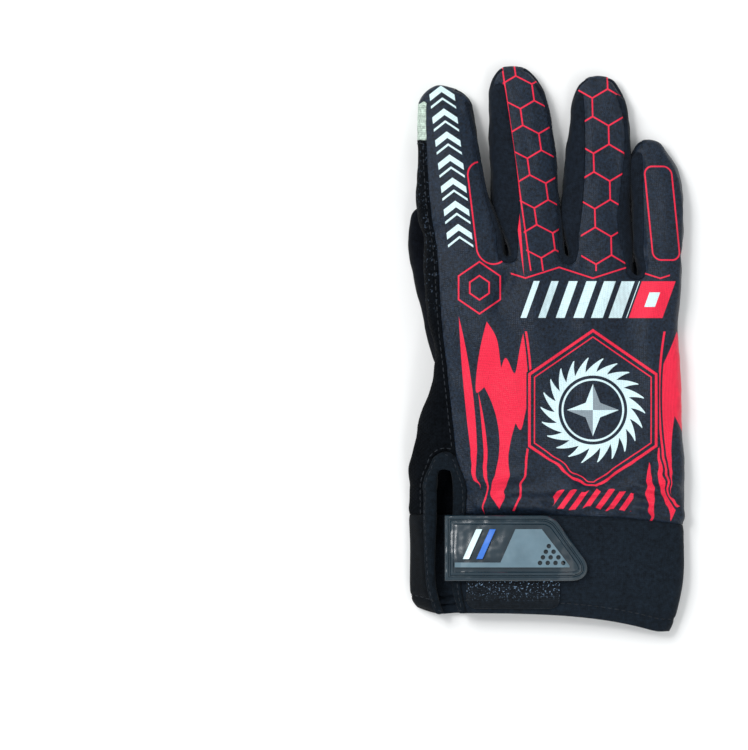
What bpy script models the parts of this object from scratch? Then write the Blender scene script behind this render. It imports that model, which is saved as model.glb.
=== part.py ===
"""Full-finger cycling glove for the right hand, lying back up with its thumb folded beneath the palm.

The glove is one smooth skin of quads, cut into the panels that the real one is sewn from. Each panel is
a wall of its own, with a narrow gap at every seam. The closure pieces are laid on the cuff.
Metres, +X to the little finger, +Y to the fingertips, +Z up from the surface that the glove lies on.
"""

import math
from collections import namedtuple

import bpy
from mathutils import Vector
from mathutils.bvhtree import BVHTree

# Hand and cuff
HAND_WIDTH = 0.1140
HAND_LENGTH = 0.1037
HAND_HEIGHT = 0.0165
CUFF_LENGTH = 0.0410
CUFF_HEIGHT = 0.0160

# Fingers, from the finger line to the tips
INDEX_LENGTH = 0.0740
INDEX_WIDTH = 0.0270
INDEX_HEIGHT = 0.0140
MIDDLE_LENGTH = 0.0824
MIDDLE_WIDTH = 0.0261
MIDDLE_HEIGHT = 0.0145
RING_LENGTH = 0.0783
RING_WIDTH = 0.0257
RING_HEIGHT = 0.0140
PINKY_LENGTH = 0.0593
PINKY_WIDTH = 0.0216
PINKY_HEIGHT = 0.0130

# Thumb, folded beneath the palm, and the room above it
THUMB_LENGTH = 0.0480
THUMB_WIDTH = 0.0250
THUMB_HEIGHT = 0.0100
THUMB_CLEARANCE = 0.0024

# Walls, and the gap at each seam
BACK_WALL = 0.0013
PALM_WALL = 0.0015
FOURCHETTE_WALL = 0.0012
THUMB_WALL = 0.0014
PATCH_WALL = 0.0012
CUFF_WALL = 0.0026
BINDING_WALL = 0.0026
BINDING_PROUD = 0.0009
SEAM_GAP = 0.0003

# Slit at the index side of the wrist
SLIT_WIDTH = 0.0064
SLIT_BORDER = 0.0054

# Closure tab, its plate and bars, and the loop patch beneath it. TAB_INSET: from the slit's left edge.
# PLATE_START: share of the tab's length. BAR_LEAD: from the blue bar's lower end to the plate's.
# TAB_DROP, LOOP_DROP: lower edges, in shares of the cuff's length. BAR_SLANT: sideways step in shares
# of the bar's height.
TAB_LENGTH = 0.0580
TAB_WIDTH = 0.0270
TAB_THICKNESS = 0.0020
TAB_INSET = 0.0040
PLATE_LENGTH = 0.0300
PLATE_WIDTH = 0.0158
PLATE_THICKNESS = 0.0009
HOLE_DIAMETER = 0.0017
HOLE_SPACING = 0.0030
HOLE_ROWS = 4
BAR_WIDTH = 0.0024
BAR_SPACING = 0.0067
BAR_LEAD = 0.0095
LOOP_LENGTH = 0.0385
LOOP_WIDTH = 0.0350
LOOP_THICKNESS = 0.0012
REST_GAP = 0.0003
PLATE_START = 0.38
BAR_SLANT = 0.45
TAB_DROP = 0.67
LOOP_DROP = 0.95
LOOP_CORNER = 0.12
TAB_STEP_LENGTH = 0.0040
TAB_STEP_START = 0.0010

# Cross-sections: the widest line's height in shares of a section's, and how square its two arches are
MIDDLE_SHARE = 0.45
TOP_POWER = 2.5
FLOOR_POWER = 3.4
THUMB_POWER = 2.2
THUMB_CROWN_SHARE = 0.08
THUMB_CROWN_LEVEL = 0.6

# The underside is lifted over the thumb, and falls to the surface between these shares of the width
LIFT = THUMB_HEIGHT + THUMB_CLEARANCE
LIFT_FALL_START = 0.30
LIFT_FALL_END = 0.86

# Crotches: the dip of the back above them, and how far their lower edge runs toward the fingertips
CROTCH_VALLEY = 0.0016
CROTCH_SLOPE = 0.0050
CROTCH_REACH = 0.36

# Hem: its drop at the little finger's side, and its rounded corners
HEM_DROP = 0.0095
HEM_CORNER = 0.0042
HEM_CORNER_SHARE = 0.09

# Shares of a ring at which the points of its sides lie
SIDE_LOW_RIGHT = 0.996
SIDE_LOW_LEFT = 0.004
HAND_BACK_END = 0.955
HAND_SIDE_HIGH = 0.990
HAND_PALM_START = 0.945
HAND_PALM_END = 0.075
FINGER_SIDE_SHARE = 0.8
FINGER_PALM_SHARES = (0.87, 0.62, 0.38, 0.13)
FINGER_SLOPES = (0.0, 0.0, 0.0, 0.0, 0.35, 0.7, 1.0, 1.0, 1.0, 1.0, 0.7, 0.35)
TIP_ALONG = 0.980
TIP_HEIGHTS = (0.58, 0.30)
TIP_SHARES = (0.32, 0.68)
ARCH_STEP = 0.32

FAIRING_STEPS = 14
FOLD_SHARE = 0.5
MITRE_LEAST = 0.4

# One row for each ring of a finger. along: share of the finger's length. left, right: sides, in shares of
# its width from its axis. seam_left, seam_right: where the back's seams cross the ring, in shares of the
# ring. height: share of the finger's height. lift: share of the room that the thumb needs. rise: how far
# the underside turns up, in shares of the finger's height.
Section = namedtuple("Section", "along left right seam_left seam_right height lift rise")

INDEX_SECTIONS = (
    Section(0.00, -0.62, 0.560, 0.15, 0.93, 1.05, 1.00, 0.00),
    Section(0.15, -0.606, 0.560, 0.14, 0.93, 1.03, 1.00, 0.00),
    Section(0.36, -0.615, 0.485, 0.16, 0.94, 1.00, 1.00, 0.00),
    Section(0.695, -0.515, 0.425, 0.15, 0.94, 0.95, 0.42, 0.00),
    Section(0.905, -0.420, 0.400, 0.15, 0.88, 0.70, 0.06, 0.08),
)
MIDDLE_SECTIONS = (
    Section(0.00, -0.375, 0.392, 0.12, 0.92, 1.05, 1.00, 0.00),
    Section(0.15, -0.455, 0.462, 0.27, 0.92, 1.03, 0.85, 0.00),
    Section(0.33, -0.545, 0.500, 0.41, 0.94, 1.00, 0.62, 0.00),
    Section(0.70, -0.430, 0.571, 0.33, 0.94, 0.95, 0.12, 0.00),
    Section(0.90, -0.330, 0.475, 0.27, 0.90, 0.70, 0.00, 0.08),
)
RING_SECTIONS = (
    Section(0.00, -0.440, 0.510, 0.08, 0.90, 1.05, 1.00, 0.00),
    Section(0.15, -0.575, 0.512, 0.22, 0.83, 1.03, 0.80, 0.00),
    Section(0.33, -0.600, 0.485, 0.31, 0.82, 1.00, 0.50, 0.00),
    Section(0.70, -0.463, 0.500, 0.26, 0.93, 0.95, 0.10, 0.00),
    Section(0.90, -0.365, 0.415, 0.18, 0.88, 0.70, 0.00, 0.08),
)
PINKY_SECTIONS = (
    Section(0.00, -0.365, 0.346, 0.12, 0.90, 1.05, 1.00, 0.00),
    Section(0.16, -0.490, 0.390, 0.22, 0.92, 1.03, 0.80, 0.00),
    Section(0.38, -0.470, 0.496, 0.21, 0.92, 1.00, 0.50, 0.00),
    Section(0.72, -0.415, 0.515, 0.24, 0.92, 0.95, 0.10, 0.00),
    Section(0.90, -0.345, 0.335, 0.25, 0.86, 0.70, 0.00, 0.08),
)

# root, drop: place on the finger line, in shares of the hand's width and length. slant: how much further
# down the little finger's side of the root lies. lean: sideways step of the tip, in shares of the length.
Finger = namedtuple(
    "Finger", "length width height root drop slant lean sections left_panel right_panel"
)
FINGERS = (
    Finger(INDEX_LENGTH, INDEX_WIDTH, INDEX_HEIGHT, -0.293, 0.0, 0.0, -0.121, INDEX_SECTIONS,
           "palm_panel", "fourchette_index_middle"),
    Finger(MIDDLE_LENGTH, MIDDLE_WIDTH, MIDDLE_HEIGHT, -0.038, 0.0, 0.0, -0.137, MIDDLE_SECTIONS,
           "fourchette_index_middle", "fourchette_middle_ring"),
    Finger(RING_LENGTH, RING_WIDTH, RING_HEIGHT, 0.198, 0.0, 0.072, -0.021, RING_SECTIONS,
           "fourchette_middle_ring", "fourchette_ring_pinky"),
    Finger(PINKY_LENGTH, PINKY_WIDTH, PINKY_HEIGHT, 0.427, 0.072, 0.0, -0.098, PINKY_SECTIONS,
           "fourchette_ring_pinky", "back_panel"),
)

# One row for each ring of the hand and cuff. along: shares of the hand's length, then 1 to 2 along the
# cuff. left, right: shares of the hand's width from the middle line. seam: where the back's seam crosses
# at the index side, and edge: the palm's upper edge there, in shares of the ring. drop: share of the
# hem's drop at the little finger's side. valley: share of the dip behind each crotch.
Row = namedtuple("Row", "along left right seam edge height lift drop valley")
HAND_ROWS = (
    Row(0.224, -0.427, 0.478, 0.050, 0.012, 1.00, 1.08, 0.50, 1.0),
    Row(0.424, -0.402, 0.490, 0.045, 0.011, 1.00, 0.86, 0.40, 0.4),
    Row(0.772, -0.488, 0.503, 0.163, 0.077, 1.00, 0.36, 0.40, 0.0),
    Row(0.880, -0.498, 0.503, 0.205, 0.053, 1.00, 0.14, 0.42, 0.0),
    Row(1.000, -0.500, 0.498, 0.208, 0.055, 0.90, 0.00, 0.45, 0.0),
    Row(1.480, -0.500, 0.500, 0.190, 0.060, 1.00, 0.00, 0.65, 0.0),
    Row(2.000, -0.484, 0.462, 0.200, 0.080, 0.80, 0.00, 1.00, 0.0),
)
THUMB_BANDS = (1, 2)
ARCH_ROW = 2
CUFF_ROW = 4

# One row for each ring of the thumb. top, low: how far the upper and lower side lie from the tip, in
# shares of the thumb's length. left: step of the left side from the palm's edge, in shares of its width.
# top_height, low_height: heights of the two sides, in shares of the thumb's.
ThumbRing = namedtuple("ThumbRing", "top low left width top_height low_height")
THUMB_RINGS = (
    ThumbRing(1.16, 1.86, 0.52, 0.90, 1.20, 0.26),
    ThumbRing(0.90, 1.42, 0.23, 0.98, 1.00, 0.03),
    ThumbRing(0.56, 0.60, -0.08, 1.06, 0.98, 0.00),
    ThumbRing(0.30, 0.30, -0.14, 1.00, 0.94, 0.00),
    ThumbRing(0.10, 0.10, -0.09, 0.76, 0.80, 0.12),
)

# One row for each point of a thumb ring. share: share of the width. up: 1 on the upper side, 0 below.
ThumbMark = namedtuple("ThumbMark", "share up")
THUMB_MARKS = (
    ThumbMark(0.10, 1.0),
    ThumbMark(0.36, 1.0),
    ThumbMark(0.64, 1.0),
    ThumbMark(0.90, 1.0),
    ThumbMark(1.00, 0.5),
    ThumbMark(0.90, 0.0),
    ThumbMark(0.64, 0.0),
    ThumbMark(0.36, 0.0),
    ThumbMark(0.10, 0.0),
    ThumbMark(0.00, 0.5),
)

# The thumb's tip, in shares of the hand's length past the finger line, and its left edge in shares of
# the hand's width. The tip's inner points lie this far from it, apart and up, in shares of the thumb.
THUMB_TIP_AHEAD = 0.246
THUMB_EDGE = -0.470
THUMB_TIP_ALONG = 0.01
THUMB_TIP_STEP = 0.15
THUMB_TIP_HEIGHT = 0.46

# Outline of the closure tab and of its plate. along: share of the length. low, high: edges, in shares of
# the width.
Station = namedtuple("Station", "along low high")
TAB_STATIONS = (
    Station(0.00, 0.00, 1.00),
    Station(0.14, 0.00, 1.00),
    Station(0.28, 0.00, 1.00),
    Station(0.42, 0.00, 1.00),
    Station(0.56, 0.00, 1.00),
    Station(0.68, 0.00, 1.00),
    Station(0.75, 0.00, 0.96),
    Station(0.83, 0.00, 0.83),
    Station(0.89, 0.01, 0.67),
    Station(0.94, 0.04, 0.53),
    Station(0.98, 0.11, 0.41),
    Station(1.00, 0.21, 0.31),
)
PLATE_STATIONS = (
    Station(0.00, 0.00, 1.00),
    Station(0.23, 0.00, 1.00),
    Station(0.47, 0.00, 1.00),
    Station(0.66, 0.00, 0.72),
    Station(0.85, 0.00, 0.43),
    Station(1.00, 0.03, 0.20),
)
PLATE_HOLES_STATION = 2
HOLE_ROW_SHARE = 0.8
SHEET_ROWS = 4
LOOP_COLUMNS = 7

PANEL_NAMES = (
    "back_panel", "palm_panel", "fourchette_index_middle", "fourchette_middle_ring",
    "fourchette_ring_pinky", "thumb", "touch_patch", "cuff", "slit_binding", "open",
)
WALLS = {
    "back_panel": BACK_WALL,
    "palm_panel": PALM_WALL,
    "fourchette_index_middle": FOURCHETTE_WALL,
    "fourchette_middle_ring": FOURCHETTE_WALL,
    "fourchette_ring_pinky": FOURCHETTE_WALL,
    "thumb": THUMB_WALL,
    "touch_patch": PATCH_WALL,
    "cuff": CUFF_WALL,
    "slit_binding": BINDING_WALL,
}

# Base colour and roughness of each piece
MATERIALS = {
    "back_panel": ((0.021, 0.023, 0.030), 0.75),
    "palm_panel": ((0.006, 0.006, 0.008), 0.90),
    "fourchette_index_middle": ((0.008, 0.009, 0.012), 0.85),
    "fourchette_middle_ring": ((0.008, 0.009, 0.012), 0.85),
    "fourchette_ring_pinky": ((0.008, 0.009, 0.012), 0.85),
    "thumb": ((0.006, 0.006, 0.008), 0.90),
    "touch_patch": ((0.560, 0.620, 0.560), 0.60),
    "cuff": ((0.008, 0.010, 0.012), 0.85),
    "slit_binding": ((0.006, 0.007, 0.009), 0.80),
    "strap_tab": ((0.030, 0.036, 0.042), 0.30),
    "strap_plate": ((0.180, 0.200, 0.230), 0.35),
    "strap_bar_white": ((0.850, 0.880, 0.900), 0.35),
    "strap_bar_blue": ((0.030, 0.160, 0.620), 0.35),
    "loop_patch": ((0.004, 0.004, 0.005), 0.95),
}


def clear_scene():
    for old in list(bpy.data.objects):
        bpy.data.objects.remove(old, do_unlink=True)


def mix(start, end, share):
    return start + (end - start) * share


def smooth(share):
    share = min(1.0, max(0.0, share))
    return share * share * (3 - 2 * share)


def arch(share, power):
    """Height of a flattened arch, 0 at its sides and 1 in the middle."""
    return max(0.0, 1 - abs(2 * share - 1) ** power) ** (1 / power)


def floor_height(x, lift):
    """Height of the glove's underside, which the folded thumb lifts at the index side."""
    share = x / HAND_WIDTH + 0.5
    fall = 1 - smooth((share - LIFT_FALL_START) / (LIFT_FALL_END - LIFT_FALL_START))
    return LIFT * lift * fall


def ring_height(share, low, height, upper):
    middle = low + MIDDLE_SHARE * height
    if upper:
        return middle + (1 - MIDDLE_SHARE) * height * arch(share, TOP_POWER)
    return middle - MIDDLE_SHARE * height * arch(share, FLOOR_POWER)


class Skin:
    """Points and quads of the glove's outer skin, each quad with the panel it belongs to."""

    def __init__(self):
        self.points = []
        self.faces = []
        self.panels = []

    def add(self, x, y, z):
        self.points.append(Vector((x, y, z)))
        return len(self.points) - 1

    def face(self, corners, panel):
        self.faces.append(tuple(corners))
        self.panels.append(panel)

    def band(self, low_ring, high_ring, panels):
        """Quads between two rings of as many points; a panel of None leaves its quad out."""
        count = len(low_ring)
        for i in range(count):
            j = (i + 1) % count
            if panels[i] is not None:
                self.face((low_ring[i], low_ring[j], high_ring[j], high_ring[i]), panels[i])

    def cap(self, ring, inner, columns, panels):
        """Quads that close a tip: the ring's points round a grid of inner points, row by row."""
        rows = len(panels)
        grid = [list(ring[: columns + 1])]
        right = ring[columns + 1 : columns + rows]
        left = ring[len(ring) - rows + 1 :][::-1]
        for r in range(rows - 1):
            grid.append([left[r]] + list(inner[r]) + [right[r]])
        grid.append(list(ring[columns + rows : 2 * columns + rows + 1])[::-1])
        for r in range(rows):
            for c in range(columns):
                corners = (grid[r][c], grid[r][c + 1], grid[r + 1][c + 1], grid[r + 1][c])
                self.face(corners, panels[r][c])


def finger_place(finger, along, side):
    """Axis point at a share of the length. side is 0 at the index side and 1 at the other."""
    x = finger.root * HAND_WIDTH + finger.lean * finger.length * along
    y = finger.length * along
    y -= HAND_LENGTH * (finger.drop + finger.slant * side * (1 - along))
    return x, y


def finger_ring(skin, finger, section):
    """Twelve points: the back's four, two down the right side, the palm's four, two up the left."""
    left_share = (1 - FINGER_SIDE_SHARE) * section.seam_left
    right_share = mix(section.seam_right, 1.0, FINGER_SIDE_SHARE)
    upper = [mix(section.seam_left, section.seam_right, i / 3) for i in range(4)] + [right_share]
    lower = [SIDE_LOW_RIGHT, *FINGER_PALM_SHARES, SIDE_LOW_LEFT]
    marks = [(share, True) for share in upper]
    marks += [(share, False) for share in lower]
    marks += [(left_share, True)]
    web = CROTCH_SLOPE * max(0.0, 1 - section.along / CROTCH_REACH)
    ring = []
    for (share, is_upper), slope in zip(marks, FINGER_SLOPES):
        centre, y = finger_place(finger, section.along, share)
        y += web * slope
        x = centre + finger.width * mix(section.left, section.right, share)
        low = floor_height(x, section.lift) + finger.height * section.rise
        z = ring_height(share, low, finger.height * section.height, is_upper)
        ring.append(skin.add(x, y, z))
    return ring


def finger_tip(skin, finger):
    """Two rows of two points inside the tip's cap."""
    last = finger.sections[-1]
    inner = []
    for height in TIP_HEIGHTS:
        row = []
        for share in TIP_SHARES:
            centre, y = finger_place(finger, TIP_ALONG, share)
            x = centre + finger.width * mix(last.left, last.right, share)
            row.append(skin.add(x, y, finger.height * height))
        inner.append(row)
    return inner


def build_finger(skin, finger, is_index):
    rings = [finger_ring(skin, finger, section) for section in finger.sections]
    over = ["back_panel"] * 3 + [finger.right_panel] * 3
    around = over + ["palm_panel"] * 3 + [finger.left_panel] * 3
    patch = over + ["touch_patch"] * 6
    for i in range(len(rings) - 1):
        is_patch = is_index and i == len(rings) - 2
        skin.band(rings[i], rings[i + 1], patch if is_patch else around)
    under = "touch_patch" if is_index else "palm_panel"
    left = "touch_patch" if is_index else finger.left_panel
    panels = (["back_panel"] * 3, [left, under, finger.right_panel], [under] * 3)
    skin.cap(rings[-1], finger_tip(skin, finger), 3, panels)
    return rings[0]


def join_crotches(skin, roots):
    """Each fourchette runs through the crotch between two finger roots."""
    for left, right, finger in zip(roots, roots[1:], FINGERS):
        down_left = (left[3], left[4], left[5], left[6])
        down_right = (right[0], right[11], right[10], right[9])
        for i in range(3):
            corners = (down_left[i], down_right[i], down_right[i + 1], down_left[i + 1])
            skin.face(corners, finger.right_panel)


def root_ring(roots):
    """One ring round all four finger roots, in the order of a hand ring."""
    upper = [point for root in roots for point in root[0:4]]
    lower = [point for root in roots[::-1] for point in root[6:10]]
    return upper + [roots[-1][4], roots[-1][5]] + lower + [roots[0][10], roots[0][11]]


def spread(skin, ring):
    """Shares of a run of points between its first and its last, by their x."""
    xs = [skin.points[i].x for i in ring]
    return [(x - xs[0]) / (xs[-1] - xs[0]) for x in xs]


def row_y(row, share):
    along_hand = min(row.along, 1.0)
    along_cuff = max(row.along - 1.0, 0.0)
    side = max(0.0, 1 - min(share, 1 - share) / HEM_CORNER_SHARE)
    corner = HEM_CORNER * side ** 2 if row is HAND_ROWS[-1] else 0.0
    return corner - HAND_LENGTH * along_hand - CUFF_LENGTH * along_cuff - HEM_DROP * row.drop * share ** 3


def row_point(skin, row, share, upper, dip=0.0):
    x = HAND_WIDTH * mix(row.left, row.right, share)
    full = HAND_HEIGHT if row.along < 1.0 else CUFF_HEIGHT
    z = ring_height(share, floor_height(x, row.lift), full * row.height, upper) - dip
    return skin.add(x, row_y(row, share), z)


def hand_ring(skin, row, upper_spread, lower_spread, valley):
    ring = []
    for i, part in enumerate(upper_spread):
        share = mix(row.seam, HAND_BACK_END, part)
        in_crotch = i % 4 in (0, 3) and 0 < i < len(upper_spread) - 1
        ring.append(row_point(skin, row, share, True, valley if in_crotch else 0.0))
    ring.append(row_point(skin, row, HAND_SIDE_HIGH, True))
    ring.append(row_point(skin, row, SIDE_LOW_RIGHT, False))
    for part in lower_spread:
        ring.append(row_point(skin, row, mix(HAND_PALM_START, HAND_PALM_END, part), False))
    ring.append(row_point(skin, row, SIDE_LOW_LEFT, False))
    ring.append(row_point(skin, row, row.edge, True))
    return ring


def slit_middle(row):
    return mix(row.edge, row.seam, 0.5)


def slit_pair(skin, row, half_width):
    """Two points beside the slit's middle line."""
    step = half_width / (HAND_WIDTH * (row.right - row.left))
    return [row_point(skin, row, slit_middle(row) + side * step, True) for side in (-1, 1)]


def arch_pair(skin, row):
    """The two upper corners of the slit's opening, one border's width below its arch."""
    below = row._replace(along=row.along + SLIT_BORDER / HAND_LENGTH)
    return slit_pair(skin, below, ARCH_STEP * SLIT_WIDTH)


def build_hand(skin, roots):
    """Rings from the finger line to the hem, with a hole for the thumb and a slit at the wrist."""
    top = root_ring(roots)
    upper_spread = spread(skin, top[0:16])
    lower_spread = spread(skin, top[18:34])
    whole = ["back_panel"] * 18 + ["palm_panel"] * 17
    thumb_hole = ["back_panel"] * 18 + ["palm_panel"] * 12 + [None] * 3 + ["palm_panel"] * 2
    rings = [top]
    for i, row in enumerate(HAND_ROWS):
        valley = CROTCH_VALLEY * row.valley
        rings.append(hand_ring(skin, row, upper_spread, lower_spread, valley))
    for i in range(len(rings) - 1):
        if i in THUMB_BANDS:
            panels = thumb_hole
        elif i > CUFF_ROW:
            panels = ["cuff"] * 35
        else:
            panels = whole
        skin.band(rings[i + 1], rings[i], panels + ["palm_panel" if i <= ARCH_ROW else None])
    build_slit(skin, rings)
    return rings


def build_slit(skin, rings):
    """An arch and two legs of binding, with the slit's opening between them down to the hem."""
    high = rings[ARCH_ROW + 1]
    above = arch_pair(skin, HAND_ROWS[ARCH_ROW])
    skin.face((above[0], above[1], high[0], high[35]), "slit_binding")
    for row, ring in zip(HAND_ROWS[ARCH_ROW + 1 :], rings[ARCH_ROW + 2 :]):
        edges = slit_pair(skin, row, 0.5 * SLIT_WIDTH)
        skin.face((ring[35], edges[0], above[0], high[35]), "slit_binding")
        skin.face((edges[0], edges[1], above[1], above[0]), "open")
        skin.face((edges[1], ring[0], high[0], above[1]), "slit_binding")
        above = edges
        high = ring


def build_thumb(skin, rings):
    """A tube from the hole in the palm, turned forward and closed at its tip."""
    front, side, back = rings[1], rings[2], rings[3]
    base = list(front[30:34])[::-1] + [side[30]] + list(back[30:34]) + [side[33]]
    tip_y = HAND_LENGTH * THUMB_TIP_AHEAD
    edge_x = THUMB_EDGE * HAND_WIDTH
    last = base
    for ring in THUMB_RINGS:
        left = edge_x + ring.left * THUMB_WIDTH
        width = THUMB_WIDTH * ring.width
        points = []
        for mark in THUMB_MARKS:
            along = mix(ring.low, ring.top, mark.up)
            height = mix(ring.low_height, ring.top_height, mark.up)
            if mark.up == 1.0:
                height += THUMB_CROWN_SHARE * (arch(mark.share, THUMB_POWER) - THUMB_CROWN_LEVEL)
            y = tip_y - THUMB_LENGTH * along
            points.append(skin.add(left + width * mark.share, y, THUMB_HEIGHT * height))
        skin.band(last, points, ["thumb"] * 10)
        last = points
    centre = edge_x + THUMB_WIDTH * (THUMB_RINGS[-1].left + 0.5 * THUMB_RINGS[-1].width)
    tip_y -= THUMB_TIP_ALONG * THUMB_LENGTH
    inner = []
    for side in (-1, 1):
        x = centre + side * THUMB_TIP_STEP * THUMB_WIDTH
        inner.append(skin.add(x, tip_y, THUMB_TIP_HEIGHT * THUMB_HEIGHT))
    skin.cap(last, [inner], 3, (["thumb"] * 3, ["thumb"] * 3))


def fair(skin):
    """Moves the cage's points so that the smooth surface passes through the points as given."""
    count = len(skin.points)
    edge_use = {}
    diagonals = [[] for _ in range(count)]
    for face in skin.faces:
        for k in range(4):
            pair = (face[k], face[(k + 1) % 4])
            key = (min(pair), max(pair))
            edge_use[key] = edge_use.get(key, 0) + 1
            diagonals[face[k]].append(face[(k + 2) % 4])
    near = [[] for _ in range(count)]
    rim = [[] for _ in range(count)]
    for (a, b), uses in edge_use.items():
        near[a].append(b)
        near[b].append(a)
        if uses == 1:
            rim[a].append(b)
            rim[b].append(a)
    aims = [point.copy() for point in skin.points]
    cage = [point.copy() for point in skin.points]
    for _ in range(FAIRING_STEPS):
        steps = []
        for i in range(count):
            if not near[i]:
                limit = aims[i]
            elif rim[i]:
                limit = (4 * cage[i] + cage[rim[i][0]] + cage[rim[i][1]]) / 6
            else:
                n = len(near[i])
                edges = sum((cage[j] for j in near[i]), Vector())
                corners = sum((cage[j] for j in diagonals[i]), Vector())
                limit = (n * n * cage[i] + 4 * edges + corners) / (n * (n + 5))
            steps.append(aims[i] - limit)
        cage = [point + step for point, step in zip(cage, steps)]
    skin.points = cage


def subdivided(skin, levels):
    """The smooth skin, as a list of points, of quads and of each quad's panel."""
    mesh = bpy.data.meshes.new("skin")
    mesh.from_pydata([tuple(p) for p in skin.points], [], skin.faces)
    for name in PANEL_NAMES:
        mesh.materials.append(None)
    for polygon, panel in zip(mesh.polygons, skin.panels):
        polygon.material_index = PANEL_NAMES.index(panel)
    holder = bpy.data.objects.new("skin", mesh)
    bpy.context.collection.objects.link(holder)
    surface = holder.modifiers.new("smooth", "SUBSURF")
    surface.levels = levels
    surface.render_levels = levels
    bpy.context.view_layer.update()
    shaped = bpy.data.meshes.new_from_object(holder.evaluated_get(bpy.context.evaluated_depsgraph_get()))
    points = [v.co.copy() for v in shaped.vertices]
    faces = [tuple(p.vertices) for p in shaped.polygons]
    panels = [PANEL_NAMES[p.material_index] for p in shaped.polygons]
    bpy.data.objects.remove(holder, do_unlink=True)
    bpy.data.meshes.remove(mesh)
    bpy.data.meshes.remove(shaped)
    return points, faces, panels


def settle(points, faces, panels):
    """Lays the skin on the surface: nothing below it, and the origin at its box's lowest centre."""
    used = {i for face, panel in zip(faces, panels) if panel != "open" for i in face}
    xs = [points[i].x for i in used]
    ys = [points[i].y for i in used]
    shift_x = 0.5 * (min(xs) + max(xs))
    shift_y = 0.5 * (min(ys) + max(ys))
    for point in points:
        point.x -= shift_x
        point.y -= shift_y
        point.z = max(point.z, 0.0)
    return shift_x, shift_y


def skin_normals(points, faces):
    normals = [Vector() for _ in points]
    for face in faces:
        a, b, c, d = (points[i] for i in face)
        across = (c - a).cross(d - b)
        for i in face:
            normals[i] += across
    return [normal.normalized() for normal in normals]


def wall_limits(points, normals, faces):
    """The most that each point can go inward before the wall's inner side folds over itself."""
    limits = [1.0 for _ in points]
    for face in faces:
        for k in range(4):
            for step in (1, 2):
                a, b = face[k], face[(k + step) % 4]
                along = points[b] - points[a]
                bend = (normals[b] - normals[a]).dot(along)
                if bend > 0:
                    most = FOLD_SHARE * along.length_squared / bend
                    limits[a] = min(limits[a], most)
                    limits[b] = min(limits[b], most)
    return limits


def panel_solid(name, points, normals, limits, faces, wall, proud):
    """A closed wall beneath some of the skin's quads, drawn back from the seams by half their gap."""
    edges = {}
    for face in faces:
        for k in range(4):
            edges[(face[k], face[(k + 1) % 4])] = face
    border = [pair for pair in edges if (pair[1], pair[0]) not in edges]
    inward = {i: Vector() for pair in border for i in pair}
    runs = {i: [] for i in inward}
    for a, b in border:
        along = (points[b] - points[a]).normalized()
        runs[a].append(along)
        runs[b].append(along)
    for face in faces:
        centre = sum((points[i] for i in face), Vector()) / 4
        for i in face:
            if i in inward:
                inward[i] += centre - points[i]
    order = sorted({i for face in faces for i in face})
    index = {i: k for k, i in enumerate(order)}
    outer = []
    inner = []
    for i in order:
        point = points[i].copy()
        if i in inward:
            pull = (inward[i] - normals[i] * inward[i].dot(normals[i])).normalized()
            clear = min((pull - along * pull.dot(along)).length for along in runs[i])
            point += pull * 0.5 * SEAM_GAP / max(clear, MITRE_LEAST)
        top = point + normals[i] * proud
        top.z = max(top.z, 0.0)
        outer.append(top)
        inner.append(point - normals[i] * min(wall, limits[i]))
    count = len(order)
    sides = []
    for face in faces:
        for triangle in halves(face, points):
            sides.append([index[i] for i in triangle])
            sides.append([index[i] + count for i in reversed(triangle)])
    for a, b in border:
        sides.append([index[b], index[a], index[a] + count, index[b] + count])
    return make_object(name, outer + inner, sides)


def halves(face, points):
    """A quad's two triangles, cut along its shorter diagonal, so that both sides of a wall fold alike."""
    a, b, c, d = face
    if (points[a] - points[c]).length <= (points[b] - points[d]).length:
        return (a, b, c), (a, c, d)
    return (a, b, d), (b, c, d)


def make_object(name, points, faces):
    mesh = bpy.data.meshes.new(name)
    mesh.from_pydata([tuple(p) for p in points], [], faces)
    mesh.validate()
    piece = bpy.data.objects.new(name, mesh)
    bpy.context.collection.objects.link(piece)
    colour, roughness = MATERIALS[name]
    material = bpy.data.materials.new(name)
    material.use_nodes = True
    shader = material.node_tree.nodes["Principled BSDF"]
    shader.inputs["Base Color"].default_value = (*colour, 1.0)
    shader.inputs["Roughness"].default_value = roughness
    mesh.materials.append(material)
    return piece


def build_panels(points, faces, panels):
    normals = skin_normals(points, faces)
    limits = wall_limits(points, normals, faces)
    for name, wall in WALLS.items():
        own = [face for face, panel in zip(faces, panels) if panel == name]
        proud = BINDING_PROUD if name == "slit_binding" else 0.0
        panel_solid(name, points, normals, limits, own, wall, proud)


class Drape:
    """Finds the height of the cuff's upper side at a place."""

    def __init__(self, points, faces):
        self.tree = BVHTree.FromPolygons(points, faces)

    def height(self, x, y):
        hit = self.tree.ray_cast(Vector((x, y, 1.0)), Vector((0, 0, -1)))[0]
        return hit.z


def sheet_solid(name, grid, drape, rise, thickness):
    """A sheet laid on the cuff: grid holds rows of places, and rise gives its gap above it at an x."""
    rows = len(grid)
    columns = len(grid[0])
    lower = []
    for row in grid:
        for x, y in row:
            lower.append(Vector((x, y, drape.height(x, y) + rise(x))))
    upper = [point + Vector((0, 0, thickness)) for point in lower]
    count = rows * columns
    faces = []
    rim = list(range(columns))
    rim += [r * columns + columns - 1 for r in range(1, rows)]
    rim += [(rows - 1) * columns + c for c in range(columns - 2, -1, -1)]
    rim += [r * columns for r in range(rows - 2, 0, -1)]
    for r in range(rows - 1):
        for c in range(columns - 1):
            a = r * columns + c
            quad = [a, a + 1, a + columns + 1, a + columns]
            faces.append([i + count for i in quad])
            faces.append(quad[::-1])
    for a, b in zip(rim, rim[1:] + rim[:1]):
        faces.append([a, b, b + count, a + count])
    return make_object(name, lower + upper, faces)


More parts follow.
